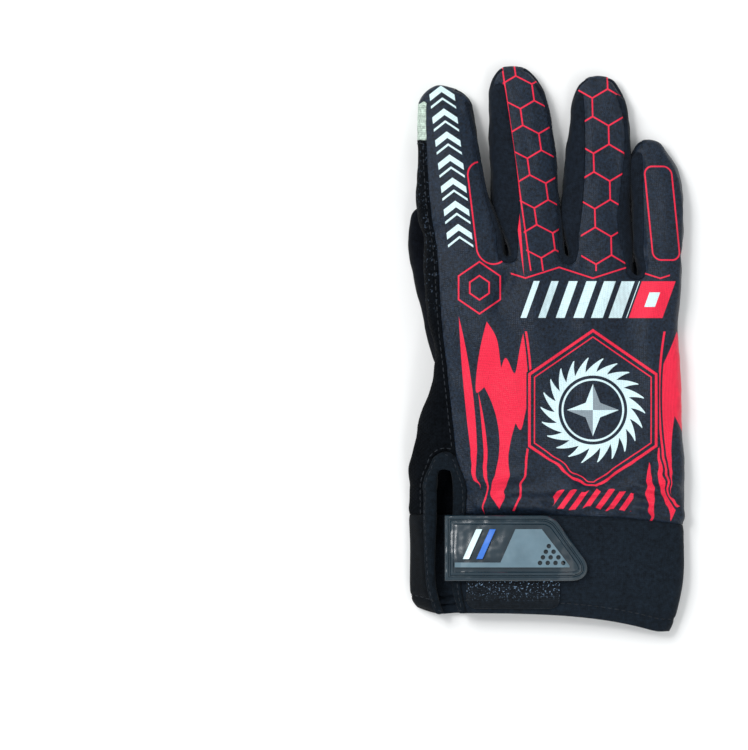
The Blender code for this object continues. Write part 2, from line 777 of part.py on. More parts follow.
def outline_grid(left, low, length, width, stations):
    grid = []
    for r in range(SHEET_ROWS + 1):
        line = []
        for station in stations:
            y = low + width * mix(station.low, station.high, r / SHEET_ROWS)
            line.append((left + length * station.along, y))
        grid.append(line)
    return grid


def build_closure(drape, shift_x, shift_y):
    """The loop patch on the cuff, the tab over it, and the plate and bars on the tab."""
    slit_row = HAND_ROWS[CUFF_ROW + 1]
    slit_x = HAND_WIDTH * mix(slit_row.left, slit_row.right, slit_middle(slit_row)) - shift_x
    tab_left = slit_x - 0.5 * SLIT_WIDTH + TAB_INSET
    tab_low = -HAND_LENGTH - TAB_DROP * CUFF_LENGTH - shift_y
    patch_left = slit_x + 0.5 * SLIT_WIDTH + SLIT_BORDER + 4 * REST_GAP
    patch_low = -HAND_LENGTH - LOOP_DROP * CUFF_LENGTH - shift_y
    patch_right = patch_left + LOOP_LENGTH

    def patch_rise(x):
        return 2 * REST_GAP

    def tab_rise(x):
        over = REST_GAP + LOOP_THICKNESS + REST_GAP
        fall = smooth((x - patch_right - TAB_STEP_START) / TAB_STEP_LENGTH)
        return 2 * REST_GAP + over * (1 - fall)

    build_loop_patch(drape, patch_left, patch_low, patch_rise)
    tab = outline_grid(tab_left, tab_low, TAB_LENGTH, TAB_WIDTH, TAB_STATIONS)
    sheet_solid("strap_tab", tab, drape, tab_rise, TAB_THICKNESS)
    build_badge(drape, tab_left, tab_low, tab_rise)


def build_loop_patch(drape, left, low, rise):
    """A rectangle whose four corners are drawn in."""
    patch = []
    for r in range(SHEET_ROWS + 1):
        inset = LOOP_CORNER if r in (0, SHEET_ROWS) else 0.0
        shares = [c / LOOP_COLUMNS for c in range(LOOP_COLUMNS + 1)]
        shares[0] = inset
        shares[-1] = 1 - inset
        y = low + LOOP_WIDTH * r / SHEET_ROWS
        patch.append([(left + LOOP_LENGTH * share, y) for share in shares])
    sheet_solid("loop_patch", patch, drape, rise, LOOP_THICKNESS)


def build_badge(drape, tab_left, tab_low, tab_rise):
    """The raised plate with its holes, and the two slanted bars beside it."""
    def rise(x):
        return tab_rise(x) + TAB_THICKNESS + REST_GAP

    left = tab_left + PLATE_START * TAB_LENGTH
    low = tab_low + 0.5 * (TAB_WIDTH - PLATE_WIDTH)
    grid = outline_grid(left, low, PLATE_LENGTH, PLATE_WIDTH, PLATE_STATIONS)
    plate = sheet_solid("strap_plate", grid, drape, rise, PLATE_THICKNESS)
    holes_left = left + PLATE_STATIONS[PLATE_HOLES_STATION].along * PLATE_LENGTH
    pierce(plate, holes_left, low, drape, rise)
    build_bar("strap_bar_white", left - BAR_LEAD - BAR_SPACING, low, drape, rise)
    build_bar("strap_bar_blue", left - BAR_LEAD, low, drape, rise)


def build_bar(name, start, low, drape, rise):
    grid = []
    for r in range(SHEET_ROWS + 1):
        up = PLATE_WIDTH * r / SHEET_ROWS
        x = start + BAR_SLANT * up
        grid.append([(x, low + up), (x + BAR_WIDTH, low + up)])
    sheet_solid(name, grid, drape, rise, PLATE_THICKNESS)


def pierce(plate, left, low, drape, rise):
    """A triangle of small holes through the plate's narrow end."""
    for r in range(HOLE_ROWS):
        for c in range(HOLE_ROWS - r):
            x = left + HOLE_SPACING * (c + 0.5 * r)
            y = low + HOLE_SPACING * (0.5 + HOLE_ROW_SHARE * r)
            bpy.ops.mesh.primitive_cylinder_add(
                vertices=8, radius=HOLE_DIAMETER / 2, depth=6 * PLATE_THICKNESS,
                location=(x, y, drape.height(x, y) + rise(x)),
            )
            cutter = bpy.context.object
            cutter.name = "plate_hole"
            cutter.hide_render = True
            cutter.display_type = "WIRE"
            cut = plate.modifiers.new("hole", "BOOLEAN")
            cut.operation = "DIFFERENCE"
            cut.solver = "EXACT"
            cut.object = cutter


def main():
    clear_scene()
    skin = Skin()
    roots = [build_finger(skin, finger, i == 0) for i, finger in enumerate(FINGERS)]
    join_crotches(skin, roots)
    rings = build_hand(skin, roots)
    build_thumb(skin, rings)
    fair(skin)
    points, faces, panels = subdivided(skin, 1)
    shift_x, shift_y = settle(points, faces, panels)
    build_panels(points, faces, panels)
    build_closure(Drape(points, faces), shift_x, shift_y)


main()
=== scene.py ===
"""Dressed model of a full-finger cycling glove, lying back up with its thumb folded beneath the palm.

The sewn panels are cut from one smooth skin, wrinkled and stitched. The closure is moulded plastic.
Metres, +X to the little finger, +Y to the fingertips, +Z up from the floor.
"""

import functools
import math
from collections import namedtuple

import bpy
import numpy as np
from bpy.props import FloatProperty, FloatVectorProperty, PointerProperty
from bpy.types import Operator, Panel, PropertyGroup
from mathutils import Matrix, Vector
from mathutils.bvhtree import BVHTree
from mathutils.kdtree import KDTree


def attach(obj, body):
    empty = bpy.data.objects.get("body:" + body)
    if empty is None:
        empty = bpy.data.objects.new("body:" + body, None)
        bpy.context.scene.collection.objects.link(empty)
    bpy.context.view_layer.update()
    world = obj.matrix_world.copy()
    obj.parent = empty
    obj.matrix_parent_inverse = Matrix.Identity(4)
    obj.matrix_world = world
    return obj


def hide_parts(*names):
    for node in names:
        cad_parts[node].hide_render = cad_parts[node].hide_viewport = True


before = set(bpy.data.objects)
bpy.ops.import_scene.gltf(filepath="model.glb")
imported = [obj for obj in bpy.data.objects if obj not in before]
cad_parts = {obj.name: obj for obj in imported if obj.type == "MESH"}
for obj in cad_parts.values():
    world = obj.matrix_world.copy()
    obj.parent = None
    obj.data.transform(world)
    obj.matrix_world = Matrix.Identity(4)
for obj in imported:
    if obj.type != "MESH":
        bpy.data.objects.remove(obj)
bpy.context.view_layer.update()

bl_info = {
    "name": "Cycling Glove",
    "version": (1, 0, 0),
    "blender": (4, 5, 0),
    "location": "View3D > Sidebar > Glove",
    "description": "Builds a printed cycling glove with a moulded wrist tab",
    "category": "Add Mesh",
}

MM = 0.001

# How fine the cloth is, how its cage is fitted, the most that a wall may fold over, how finely edges are
# sampled, and a length that counts as none.
CLOTH_LEVELS = 4
FAIRING_STEPS = 14
FOLD_SHARE = 0.5
EDGE_STEP = 0.25 * MM
TINY = 1e-12

# Cross-sections: the widest line's height in shares of a section's, and how square its two arches are
MIDDLE_SHARE = 0.45
TOP_POWER = 2.5
FLOOR_POWER = 3.4
THUMB_POWER = 2.2
THUMB_CROWN_SHARE = 0.08
THUMB_CROWN_LEVEL = 0.6

# The underside is lifted over the thumb, and falls to the surface between these shares of the width
THUMB_CLEARANCE = 2.4 * MM
LIFT_FALL_START = 0.30
LIFT_FALL_END = 0.86

# Crotches: the dip of the back above them, and how far their lower edge runs toward the fingertips
CROTCH_VALLEY = 1.6 * MM
CROTCH_SLOPE = 8.0 * MM
CROTCH_REACH = 0.36

# Hem: its drop at the little finger's side, how late it falls, and its rounded corners
HEM_DROP = 9.5 * MM
HEM_DROP_POWER = 4
HEM_CORNER_LEFT = 2.8 * MM
HEM_CORNER_RIGHT = 2.0 * MM
HEM_CORNER_SHARE = 0.075

# The palm's edge swells below the thumb: how far, where along the glove, and over what reach
HEEL_SWELL = 2.3 * MM
HEEL_SWELL_Y = -27.0 * MM
HEEL_SWELL_REACH = 10.0 * MM
HEEL_SWELL_X = -40.0 * MM
HEEL_SWELL_RAMP = 8.0 * MM

# The tape stands up in a round, and cloth dips at its seams and along the stitches of the tape and the hem
TAPE_PROUD = 1.5 * MM
TAPE_ROUND = 2.0 * MM
TAPE_DIP = 0.45 * MM
TAPE_DIP_WIDTH = 0.45 * MM
HEM_DIP = 0.45 * MM
HEM_DIP_WIDTH = 0.8 * MM
SEAM_DIP = 0.42 * MM
SEAM_DIP_WIDTH = 1.1 * MM

# Stitches: how far inside a panel's edge, how far apart in lengths of one, how flat, how far their middle
# lies above the cloth in widths, and how many points a path has to have for them.
TAPE_STITCH_INSET = 1.6 * MM
PALM_STITCH_INSET = 1.5 * MM
STITCH_SPACING = 1.35
STITCH_FLATNESS = 0.7
STITCH_RISE = 0.12
SHORTEST_PATH = 3

# Soft waves of the cloth: their height, the length of one, and the seed of their pattern. Each pattern is
# made of several waves, whose lengths lie between two shares of its own. Broad and small waves fade at seams.
Wave = namedtuple("Wave", "height length seed")
BROAD_WAVES = Wave(0.62 * MM, 19 * MM, 3)
SMALL_WAVES = Wave(0.17 * MM, 7 * MM, 8)
WAVES_PER_PATTERN = 7
WAVE_SPREAD = (0.75, 1.35)
WAVE_MARGIN = 3 * MM
CUFF_WAVE_SHARE = 0.5

# Puckers lie beside the seams. On the underside they and the seams' dips are weaker.
PUCKERS = Wave(0.24 * MM, 4.5 * MM, 21)
PUCKER_REACH = 4 * MM
LOW_PUCKER_SHARE = 0.2
LOW_DIP_SHARE = 0.3

# The back gathers in a roll above the cuff: its waves, its height and how much of that is even, how far
# above the seam it lies, and its half width.
GATHERS = Wave(0.45, 8 * MM, 31)
GATHER_HEIGHT = 1.3 * MM
GATHER_EVEN = 0.75
GATHER_PLACE = 3.6 * MM
GATHER_WIDTH = 2.8 * MM

# Where the cuff begins, over what length the cloth changes there, and how steep still counts as the top
CUFF_START_Y = -68 * MM
CUFF_BLEND = 6 * MM
TOP_SLOPE = 0.6

# Shares of a ring at which the points of its sides lie
SIDE_LOW_RIGHT = 0.996
SIDE_LOW_LEFT = 0.004
HAND_BACK_END = 0.955
HAND_SIDE_HIGH = 0.990
HAND_PALM_START = 0.945
HAND_PALM_END = 0.075
FINGER_SIDE_SHARE = 0.8
FINGER_PALM_SHARES = (0.87, 0.62, 0.38, 0.13)
FINGER_SLOPES = (0.3, 0.0, 0.0, 0.3, 0.5, 0.8, 1.0, 1.0, 1.0, 1.0, 0.8, 0.5)
TIP_ALONG = 0.980
TIP_HEIGHTS = (0.58, 0.30)
TIP_SHARES = (0.295, 0.705)
ARCH_STEP = 0.32

# Points of a finger's ring: the back's, the palm's, those below its widest line, and those down its sides
BACK_POINTS = slice(0, 4)
PALM_POINTS = slice(6, 10)
LOWER_POINTS = range(5, 11)
DOWN_RIGHT = (3, 4, 5, 6)
DOWN_LEFT = (0, 11, 10, 9)

# Points of a hand ring: the back's, the palm's, the two that bound the thumb's hole, and the palm's edge
HAND_BACK = slice(0, 16)
HAND_PALM = slice(18, 34)
HOLE_START = 30
HOLE_END = 33
PALM_EDGE = 35

# One row for each ring of a finger. along: share of the finger's length. left, right: sides, in shares of
# its width from its axis. seam_left, seam_right: where the back's seams cross the ring, in shares of the
# ring. lift: share of the room that the thumb needs.
Section = namedtuple("Section", "along left right seam_left seam_right lift")
INDEX_SECTIONS = (
    Section(0.00, -0.62, 0.622, 0.15, 0.91, 1.00),
    Section(0.15, -0.606, 0.605, 0.14, 0.93, 1.00),
    Section(0.36, -0.615, 0.505, 0.16, 0.94, 1.00),
    Section(0.695, -0.515, 0.425, 0.15, 0.94, 0.42),
    Section(0.905, -0.420, 0.400, 0.15, 0.88, 0.06),
)
MIDDLE_SECTIONS = (
    Section(0.00, -0.442, 0.472, 0.15, 0.90, 1.00),
    Section(0.15, -0.495, 0.492, 0.27, 0.95, 0.85),
    Section(0.33, -0.565, 0.525, 0.41, 0.965, 0.62),
    Section(0.70, -0.430, 0.571, 0.33, 0.965, 0.12),
    Section(0.90, -0.330, 0.475, 0.27, 0.90, 0.00),
)
RING_SECTIONS = (
    Section(0.00, -0.532, 0.556, 0.12, 0.89, 1.00),
    Section(0.15, -0.603, 0.545, 0.22, 0.83, 0.80),
    Section(0.33, -0.622, 0.510, 0.31, 0.82, 0.50),
    Section(0.70, -0.463, 0.515, 0.26, 0.93, 0.10),
    Section(0.90, -0.365, 0.415, 0.18, 0.88, 0.00),
)
PINKY_SECTIONS = (
    Section(0.00, -0.518, 0.346, 0.16, 0.90, 1.00),
    Section(0.16, -0.555, 0.390, 0.22, 0.92, 0.80),
    Section(0.38, -0.495, 0.496, 0.21, 0.92, 0.50),
    Section(0.72, -0.440, 0.515, 0.24, 0.92, 0.10),
    Section(0.90, -0.345, 0.335, 0.25, 0.86, 0.00),
)

# Heights of a finger's rings, and how far each underside turns up, in shares of the finger's height
RING_HEIGHTS = (1.05, 1.03, 1.00, 0.95, 0.70)
RING_RISES = (0.00, 0.00, 0.00, 0.00, 0.08)

# size: width, length and height. root, drop: place on the finger line, in shares of the hand's width and
# length. slant: how much further down the little finger's side of the root lies. lean: sideways step of
# the tip, in shares of the length.
Finger = namedtuple("Finger", "size root drop slant lean sections left_panel right_panel")
INDEX, MIDDLE, RING, PINKY = range(4)

# One row for each ring of the hand and cuff. along: shares of the hand's length, then 1 to 2 along the
# cuff. left, right: shares of the hand's width from the middle line. seam: where the back's seam crosses
# at the index side, and edge: the palm's upper edge there, in shares of the ring. height: share of the
# hand's or the cuff's height. lift: share of the room that the thumb needs. drop: share of the hem's drop at
# the little finger's side. valley: share of the dip behind each crotch.
Row = namedtuple("Row", "along left right seam edge height lift drop valley")
HAND_ROWS = (
    Row(0.224, -0.427, 0.478, 0.050, 0.012, 1.00, 1.08, 0.50, 1.0),
    Row(0.424, -0.402, 0.490, 0.045, 0.011, 1.00, 0.86, 0.40, 0.4),
    Row(0.772, -0.488, 0.503, 0.163, 0.077, 1.00, 0.36, 0.40, 0.0),
    Row(0.880, -0.498, 0.503, 0.205, 0.053, 1.00, 0.14, 0.42, 0.0),
    Row(1.000, -0.500, 0.498, 0.208, 0.055, 0.90, 0.00, 0.45, 0.0),
    Row(1.480, -0.500, 0.500, 0.190, 0.060, 1.00, 0.00, 0.65, 0.0),
    Row(1.800, -0.497, 0.476, 0.197, 0.072, 0.90, 0.00, 0.84, 0.0),
    Row(2.000, -0.472, 0.449, 0.200, 0.080, 0.76, 0.00, 1.00, 0.0),
)
THUMB_BANDS = (1, 2)
ARCH_ROW = 2
CUFF_ROW = 4

# One row for each ring of the thumb. top, low: how far the upper and lower side lie from the tip, in
# shares of the thumb's length. left: step of the left side from the palm's edge, in shares of its width.
# top_height, low_height: heights of the two sides, in shares of the thumb's.
ThumbRing = namedtuple("ThumbRing", "top low left width top_height low_height")
THUMB_RINGS = (
    ThumbRing(1.16, 1.86, 0.52, 0.90, 1.20, 0.26),
    ThumbRing(0.90, 1.42, 0.23, 0.98, 1.00, 0.03),
    ThumbRing(0.56, 0.60, -0.08, 1.06, 0.98, 0.00),
    ThumbRing(0.30, 0.30, -0.14, 1.00, 0.94, 0.00),
    ThumbRing(0.10, 0.10, -0.09, 0.76, 0.80, 0.12),
)

# Points of a thumb ring: their share of the width, and 1 on the upper side, 0 below
ThumbMark = namedtuple("ThumbMark", "share up")
THUMB_SHARES = (0.10, 0.36, 0.64, 0.90)
THUMB_MARKS = (
    *(ThumbMark(share, 1.0) for share in THUMB_SHARES),
    ThumbMark(1.00, 0.5),
    *(ThumbMark(share, 0.0) for share in reversed(THUMB_SHARES)),
    ThumbMark(0.00, 0.5),
)
THUMB_TIP_AHEAD = 0.246
THUMB_EDGE = -0.470
THUMB_TIP_ALONG = 0.01
THUMB_TIP_STEP = 0.15
THUMB_TIP_HEIGHT = 0.46

PANEL_NAMES = (
    "back_panel", "palm_panel", "fourchette_index_middle", "fourchette_middle_ring",
    "fourchette_ring_pinky", "thumb", "touch_patch", "cuff", "slit_binding", "open",
)

# Folds of the cloth, in millimetres. x0 y0 to x1 y1: the crest. width: from crest to foot. height: above
# the cloth, or below it where negative.
Fold = namedtuple("Fold", "x0 y0 x1 y1 width height")
BACK_FOLDS = (
    Fold(-16, -60, 24, -57, 2.3, 1.9),
    Fold(4, -53, 38, -56, 2.2, -1.6),
    Fold(14, -63, 53, -67, 2.2, 2.3),
    Fold(30, -55, 56, -61, 2.0, 1.9),
    Fold(-27, -64, 6, -65, 1.9, 1.6),
    Fold(-24, -54, -2, -51, 2.6, 1.1),
    Fold(16, -68, 42, -63, 1.6, -1.5),
    Fold(6, -62, 36, -58, 1.2, 1.3),
    Fold(33, -58, 54, -66, 1.2, 1.5),
    Fold(10, -55, 32, -60, 1.1, -1.2),
    Fold(44, -50, 57, -60, 1.3, 1.3),
    Fold(-24, -62, -6, -58, 1.2, 1.1),
    Fold(22, -50, 47, -48, 1.9, 0.9),
    Fold(36, -46, 56, -42, 2.0, -0.8),
    Fold(-13, 37, -22, 12, 2.6, -2.0),
    Fold(-18, 38, -34, 26, 2.3, -1.4),
    Fold(8, 33, 4, 14, 3.0, -0.7),
    Fold(37, 27, 33, 14, 3.0, -0.7),
    Fold(-44, 28, -27, 17, 3.0, -0.7),
    Fold(-40, -8, -22, -36, 4.0, 0.8),
    Fold(-30, -4, -12, -30, 3.4, -0.6),
    Fold(46, 0, 38, -40, 4.5, 0.7),
    Fold(52, -30, 40, -52, 3.0, -0.6),
    Fold(-36, 70, -50, 66, 2.0, -0.7),
    Fold(-31, 52, -49, 49, 2.2, -0.7),
    Fold(-29, 43, -44, 39, 2.2, 0.5),
    Fold(-20, 84, -3, 80, 2.0, -0.7),
    Fold(-17, 56, 0, 60, 2.2, -0.7),
    Fold(-12, 46, 4, 49, 2.0, 0.5),
    Fold(14, 80, 31, 84, 2.0, -0.7),
    Fold(15, 58, 31, 55, 2.2, -0.7),
    Fold(16, 46, 30, 44, 2.0, 0.5),
    Fold(38, 60, 56, 63, 2.0, -0.7),
    Fold(40, 42, 56, 38, 2.2, -0.6),
)
FOLD_FADE = 0.35

# Each sewn panel: the size that its wall takes, its slot and cloth, what it was cut to, flat, in
# millimetres and square millimetres, and how it is held.
Cut = namedtuple("Cut", "wall slot cloth width length area held")
CUTS = {
    "back_panel": Cut("cloth_wall", "back_fabric", "print", 125, 195, 17700, "laid"),
    "palm_panel": Cut("palm_wall", "palm_fabric", "palm", 130, 195, 17300, "laid"),
    "thumb": Cut("palm_wall", "palm_fabric", "thumb", 70, 110, 5700, "folded"),
    "touch_patch": Cut("cloth_wall", "touch_fabric", "touch", 34, 26, 640, "folded"),
    "fourchette_index_middle": Cut("cloth_wall", "fourchette_fabric", "stretch", 30, 170, 2550, "folded"),
    "fourchette_middle_ring": Cut("cloth_wall", "fourchette_fabric", "stretch", 30, 170, 2380, "folded"),
    "fourchette_ring_pinky": Cut("cloth_wall", "fourchette_fabric", "stretch", 26, 160, 2100, "folded"),
    "cuff": Cut("cuff_wall", "cuff_neoprene", "cuff", 250, 52, 9700, "folded"),
    "slit_binding": Cut("cuff_wall", "binding_tape", "tape", 20, 130, 1400, "stretched"),
}


def mix(start, end, share):
    return start + (end - start) * share


def smooth(share):
    share = np.clip(share, 0.0, 1.0)
    return share * share * (3 - 2 * share)


def bell(distance, width):
    """1 at no distance, falling softly to 0 over about twice the width."""
    return np.exp(-((distance / width) ** 2))


def arch(share, power):
    """Height of a flattened arch, 0 at its sides and 1 in the middle."""
    return max(0.0, 1 - abs(2 * share - 1) ** power) ** (1 / power)


def ring_height(share, low, height, upper):
    middle = low + MIDDLE_SHARE * height
    if upper:
        return middle + (1 - MIDDLE_SHARE) * height * arch(share, TOP_POWER)
    return middle - MIDDLE_SHARE * height * arch(share, FLOOR_POWER)


class Cage:
    """Coarse quads of the glove's outer skin, each with the panel it belongs to."""

    def __init__(self, size):
        self.size = size
        self.hand_width, self.hand_length, self.hand_height = size.hand
        self.cuff_length = size.cuff[1]
        self.cuff_height = size.cuff[2]
        self.lift = size.thumb[2] + THUMB_CLEARANCE
        self.points = []
        self.faces = []
        self.panels = []

    def add(self, x, y, z):
        self.points.append(Vector((x, y, z)))
        return len(self.points) - 1

    def face(self, corners, panel):
        self.faces.append(tuple(corners))
        self.panels.append(panel)

    def band(self, low_ring, high_ring, panels):
        """Quads between two rings of as many points; a panel of None leaves its quad out."""
        count = len(low_ring)
        for i in range(count):
            j = (i + 1) % count
            if panels[i] is not None:
                self.face((low_ring[i], low_ring[j], high_ring[j], high_ring[i]), panels[i])

    def cap(self, ring, inner, columns, panels):
        """Quads that close a tip: the ring's points round a grid of inner points, row by row."""
        rows = len(panels)
        grid = [list(ring[: columns + 1])]
        right = ring[columns + 1 : columns + rows]
        left = ring[len(ring) - rows + 1 :][::-1]
        for r in range(rows - 1):
            grid.append([left[r]] + list(inner[r]) + [right[r]])
        grid.append(list(ring[columns + rows : 2 * columns + rows + 1])[::-1])
        for r in range(rows):
            for c in range(columns):
                corners = (grid[r][c], grid[r][c + 1], grid[r + 1][c + 1], grid[r + 1][c])
                self.face(corners, panels[r][c])

    def floor_height(self, x, lift):
        """Height of the glove's underside, which the folded thumb lifts at the index side."""
        share = x / self.hand_width + 0.5
        fall = 1 - smooth((share - LIFT_FALL_START) / (LIFT_FALL_END - LIFT_FALL_START))
        return self.lift * lift * fall


def glove_fingers(size):
    return (
        Finger(size.index, -0.293, 0.0, 0.0, -0.121, INDEX_SECTIONS,
               "palm_panel", "fourchette_index_middle"),
        Finger(size.middle, -0.038, 0.0, 0.0, -0.137, MIDDLE_SECTIONS,
               "fourchette_index_middle", "fourchette_middle_ring"),
        Finger(size.ring, 0.198, 0.0, 0.072, -0.021, RING_SECTIONS,
               "fourchette_middle_ring", "fourchette_ring_pinky"),
        Finger(size.pinky, 0.427, 0.072, 0.0, -0.098, PINKY_SECTIONS,
               "fourchette_ring_pinky", "back_panel"),
    )


def finger_place(cage, finger, along, side):
    """Axis point at a share of the length. side is 0 at the index side and 1 at the other."""
    length = finger.size[1]
    x = finger.root * cage.hand_width + finger.lean * length * along
    y = length * along
    y -= cage.hand_length * (finger.drop + finger.slant * side * (1 - along))
    return x, y


def finger_ring(cage, finger, section, tall, rise):
    """Twelve points: the back's four, two down the right side, the palm's four, two up the left."""
    width, _, height = finger.size
    shares = [mix(section.seam_left, section.seam_right, i / 3) for i in range(4)]
    shares += [mix(section.seam_right, 1.0, FINGER_SIDE_SHARE), SIDE_LOW_RIGHT, *FINGER_PALM_SHARES]
    shares += [SIDE_LOW_LEFT, (1 - FINGER_SIDE_SHARE) * section.seam_left]
    web = CROTCH_SLOPE * max(0.0, 1 - section.along / CROTCH_REACH)
    ring = []
    for i, (share, slope) in enumerate(zip(shares, FINGER_SLOPES)):
        centre, y = finger_place(cage, finger, section.along, share)
        y += web * slope
        x = centre + width * mix(section.left, section.right, share)
        low = cage.floor_height(x, section.lift) + height * rise
        z = ring_height(share, low, height * tall, i not in LOWER_POINTS)
        ring.append(cage.add(x, y, z))
    return ring


def finger_tip(cage, finger):
    """Two rows of two points inside the tip's cap."""
    width, _, full = finger.size
    last = finger.sections[-1]
    inner = []
    for height in TIP_HEIGHTS:
        row = []
        for share in TIP_SHARES:
            centre, y = finger_place(cage, finger, TIP_ALONG, share)
            x = centre + width * mix(last.left, last.right, share)
            row.append(cage.add(x, y, full * height))
        inner.append(row)
    return inner


def build_finger(cage, finger, is_index):
    rows = zip(finger.sections, RING_HEIGHTS, RING_RISES)
    rings = [finger_ring(cage, finger, *row) for row in rows]
    over = ["back_panel"] * 3 + [finger.right_panel] * 3
    around = over + ["palm_panel"] * 3 + [finger.left_panel] * 3
    patch = over + ["touch_patch"] * 6
    for i in range(len(rings) - 1):
        is_patch = is_index and i == len(rings) - 2
        cage.band(rings[i], rings[i + 1], patch if is_patch else around)
    under = "touch_patch" if is_index else "palm_panel"
    left = "back_panel" if is_index else finger.left_panel
    panels = (["back_panel"] * 3, [left, "back_panel", finger.right_panel], [under] * 3)
    cage.cap(rings[-1], finger_tip(cage, finger), 3, panels)
    return rings[0]


def join_crotches(cage, roots, fingers):
    """Each fourchette runs through the crotch between two finger roots."""
    for left, right, finger in zip(roots, roots[1:], fingers):
        down_left = [left[i] for i in DOWN_RIGHT]
        down_right = [right[i] for i in DOWN_LEFT]
        for i in range(3):
            corners = (down_left[i], down_right[i], down_right[i + 1], down_left[i + 1])
            cage.face(corners, finger.right_panel)


def root_ring(roots):
    """One ring round all four finger roots, in the order of a hand ring."""
    upper = [point for root in roots for point in root[BACK_POINTS]]
    lower = [point for root in roots[::-1] for point in root[PALM_POINTS]]
    right_side = roots[-1][BACK_POINTS.stop : PALM_POINTS.start]
    return upper + right_side + lower + roots[0][PALM_POINTS.stop :]


def spread(cage, ring):
    """Shares of a run of points between its first and its last, by their x."""
    xs = [cage.points[i].x for i in ring]
    return [(x - xs[0]) / (xs[-1] - xs[0]) for x in xs]


def row_y(cage, row, share):
    along_hand = min(row.along, 1.0)
    along_cuff = max(row.along - 1.0, 0.0)
    side = max(0.0, 1 - min(share, 1 - share) / HEM_CORNER_SHARE)
    full = HEM_CORNER_LEFT if share < 0.5 else HEM_CORNER_RIGHT
    corner = full * side ** 2 if row is HAND_ROWS[-1] else 0.0
    drop = HEM_DROP * row.drop * share ** HEM_DROP_POWER
    return corner - cage.hand_length * along_hand - cage.cuff_length * along_cuff - drop


def row_point(cage, row, share, upper, dip=0.0):
    x = cage.hand_width * mix(row.left, row.right, share)
    full = cage.hand_height if row.along < 1.0 else cage.cuff_height
    z = ring_height(share, cage.floor_height(x, row.lift), full * row.height, upper) - dip
    return cage.add(x, row_y(cage, row, share), z)


def hand_ring(cage, row, upper_spread, lower_spread):
    ring = []
    for i, part in enumerate(upper_spread):
        share = mix(row.seam, HAND_BACK_END, part)
        in_crotch = i % 4 in (0, 3) and 0 < i < len(upper_spread) - 1
        dip = CROTCH_VALLEY * row.valley if in_crotch else 0.0
        ring.append(row_point(cage, row, share, True, dip))
    ring.append(row_point(cage, row, HAND_SIDE_HIGH, True))
    ring.append(row_point(cage, row, SIDE_LOW_RIGHT, False))
    for part in lower_spread:
        ring.append(row_point(cage, row, mix(HAND_PALM_START, HAND_PALM_END, part), False))
    ring.append(row_point(cage, row, SIDE_LOW_LEFT, False))
    ring.append(row_point(cage, row, row.edge, True))
    return ring


def slit_middle(row):
    return mix(row.edge, row.seam, 0.5)


def slit_pair(cage, row, half_width):
    """Two points beside the slit's middle line."""
    step = half_width / (cage.hand_width * (row.right - row.left))
    return [row_point(cage, row, slit_middle(row) + side * step, True) for side in (-1, 1)]


def build_slit(cage, rings):
    """An arch and two legs of binding, with the slit's opening between them down to the hem."""
    high = rings[ARCH_ROW + 1]
    arch_row = HAND_ROWS[ARCH_ROW]
    below = arch_row._replace(along=arch_row.along + cage.size.binding_width / cage.hand_length)
    above = slit_pair(cage, below, ARCH_STEP * cage.size.slit_width)
    cage.face((above[0], above[1], high[0], high[PALM_EDGE]), "slit_binding")
    for row, ring in zip(HAND_ROWS[ARCH_ROW + 1 :], rings[ARCH_ROW + 2 :]):
        edges = slit_pair(cage, row, 0.5 * cage.size.slit_width)
        cage.face((ring[PALM_EDGE], edges[0], above[0], high[PALM_EDGE]), "slit_binding")
        cage.face((edges[0], edges[1], above[1], above[0]), "open")
        cage.face((edges[1], ring[0], high[0], above[1]), "slit_binding")
        above = edges
        high = ring


def build_hand(cage, roots):
    """Rings from the finger line to the hem, with a hole for the thumb and a slit at the wrist."""
    top = root_ring(roots)
    upper_spread = spread(cage, top[HAND_BACK])
    lower_spread = spread(cage, top[HAND_PALM])
    whole = ["back_panel"] * HAND_PALM.start + ["palm_panel"] * (PALM_EDGE - HAND_PALM.start)
    thumb_hole = [None if HOLE_START <= i < HOLE_END else panel for i, panel in enumerate(whole)]
    rings = [top]
    for row in HAND_ROWS:
        rings.append(hand_ring(cage, row, upper_spread, lower_spread))
    for i in range(len(rings) - 1):
        if i in THUMB_BANDS:
            panels = thumb_hole
        elif i > CUFF_ROW:
            panels = ["cuff"] * PALM_EDGE
        else:
            panels = whole
        cage.band(rings[i + 1], rings[i], panels + ["palm_panel" if i <= ARCH_ROW else None])
    build_slit(cage, rings)
    return rings


def build_thumb(cage, rings):
    """A tube from the hole in the palm, turned forward and closed at its tip."""
    thumb_width, thumb_length, thumb_height = cage.size.thumb
    front, side, back = rings[1], rings[2], rings[3]
    hole = slice(HOLE_START, HOLE_END + 1)
    last = front[hole][::-1] + [side[HOLE_START]] + back[hole] + [side[HOLE_END]]
    tip_y = cage.hand_length * THUMB_TIP_AHEAD
    edge_x = THUMB_EDGE * cage.hand_width
    for ring in THUMB_RINGS:
        left = edge_x + ring.left * thumb_width
        points = []
        for mark in THUMB_MARKS:
            along = mix(ring.low, ring.top, mark.up)
            height = mix(ring.low_height, ring.top_height, mark.up)
            if mark.up == 1.0:
                height += THUMB_CROWN_SHARE * (arch(mark.share, THUMB_POWER) - THUMB_CROWN_LEVEL)
            x = left + thumb_width * ring.width * mark.share
            points.append(cage.add(x, tip_y - thumb_length * along, thumb_height * height))
        cage.band(last, points, ["thumb"] * len(THUMB_MARKS))
        last = points
    centre = edge_x + thumb_width * (THUMB_RINGS[-1].left + 0.5 * THUMB_RINGS[-1].width)
    tip_y -= THUMB_TIP_ALONG * thumb_length
    inner = []
    for side in (-1, 1):
        x = centre + side * THUMB_TIP_STEP * thumb_width
        inner.append(cage.add(x, tip_y, THUMB_TIP_HEIGHT * thumb_height))
    cage.cap(last, [inner], 3, (["thumb"] * 3, ["thumb"] * 3))


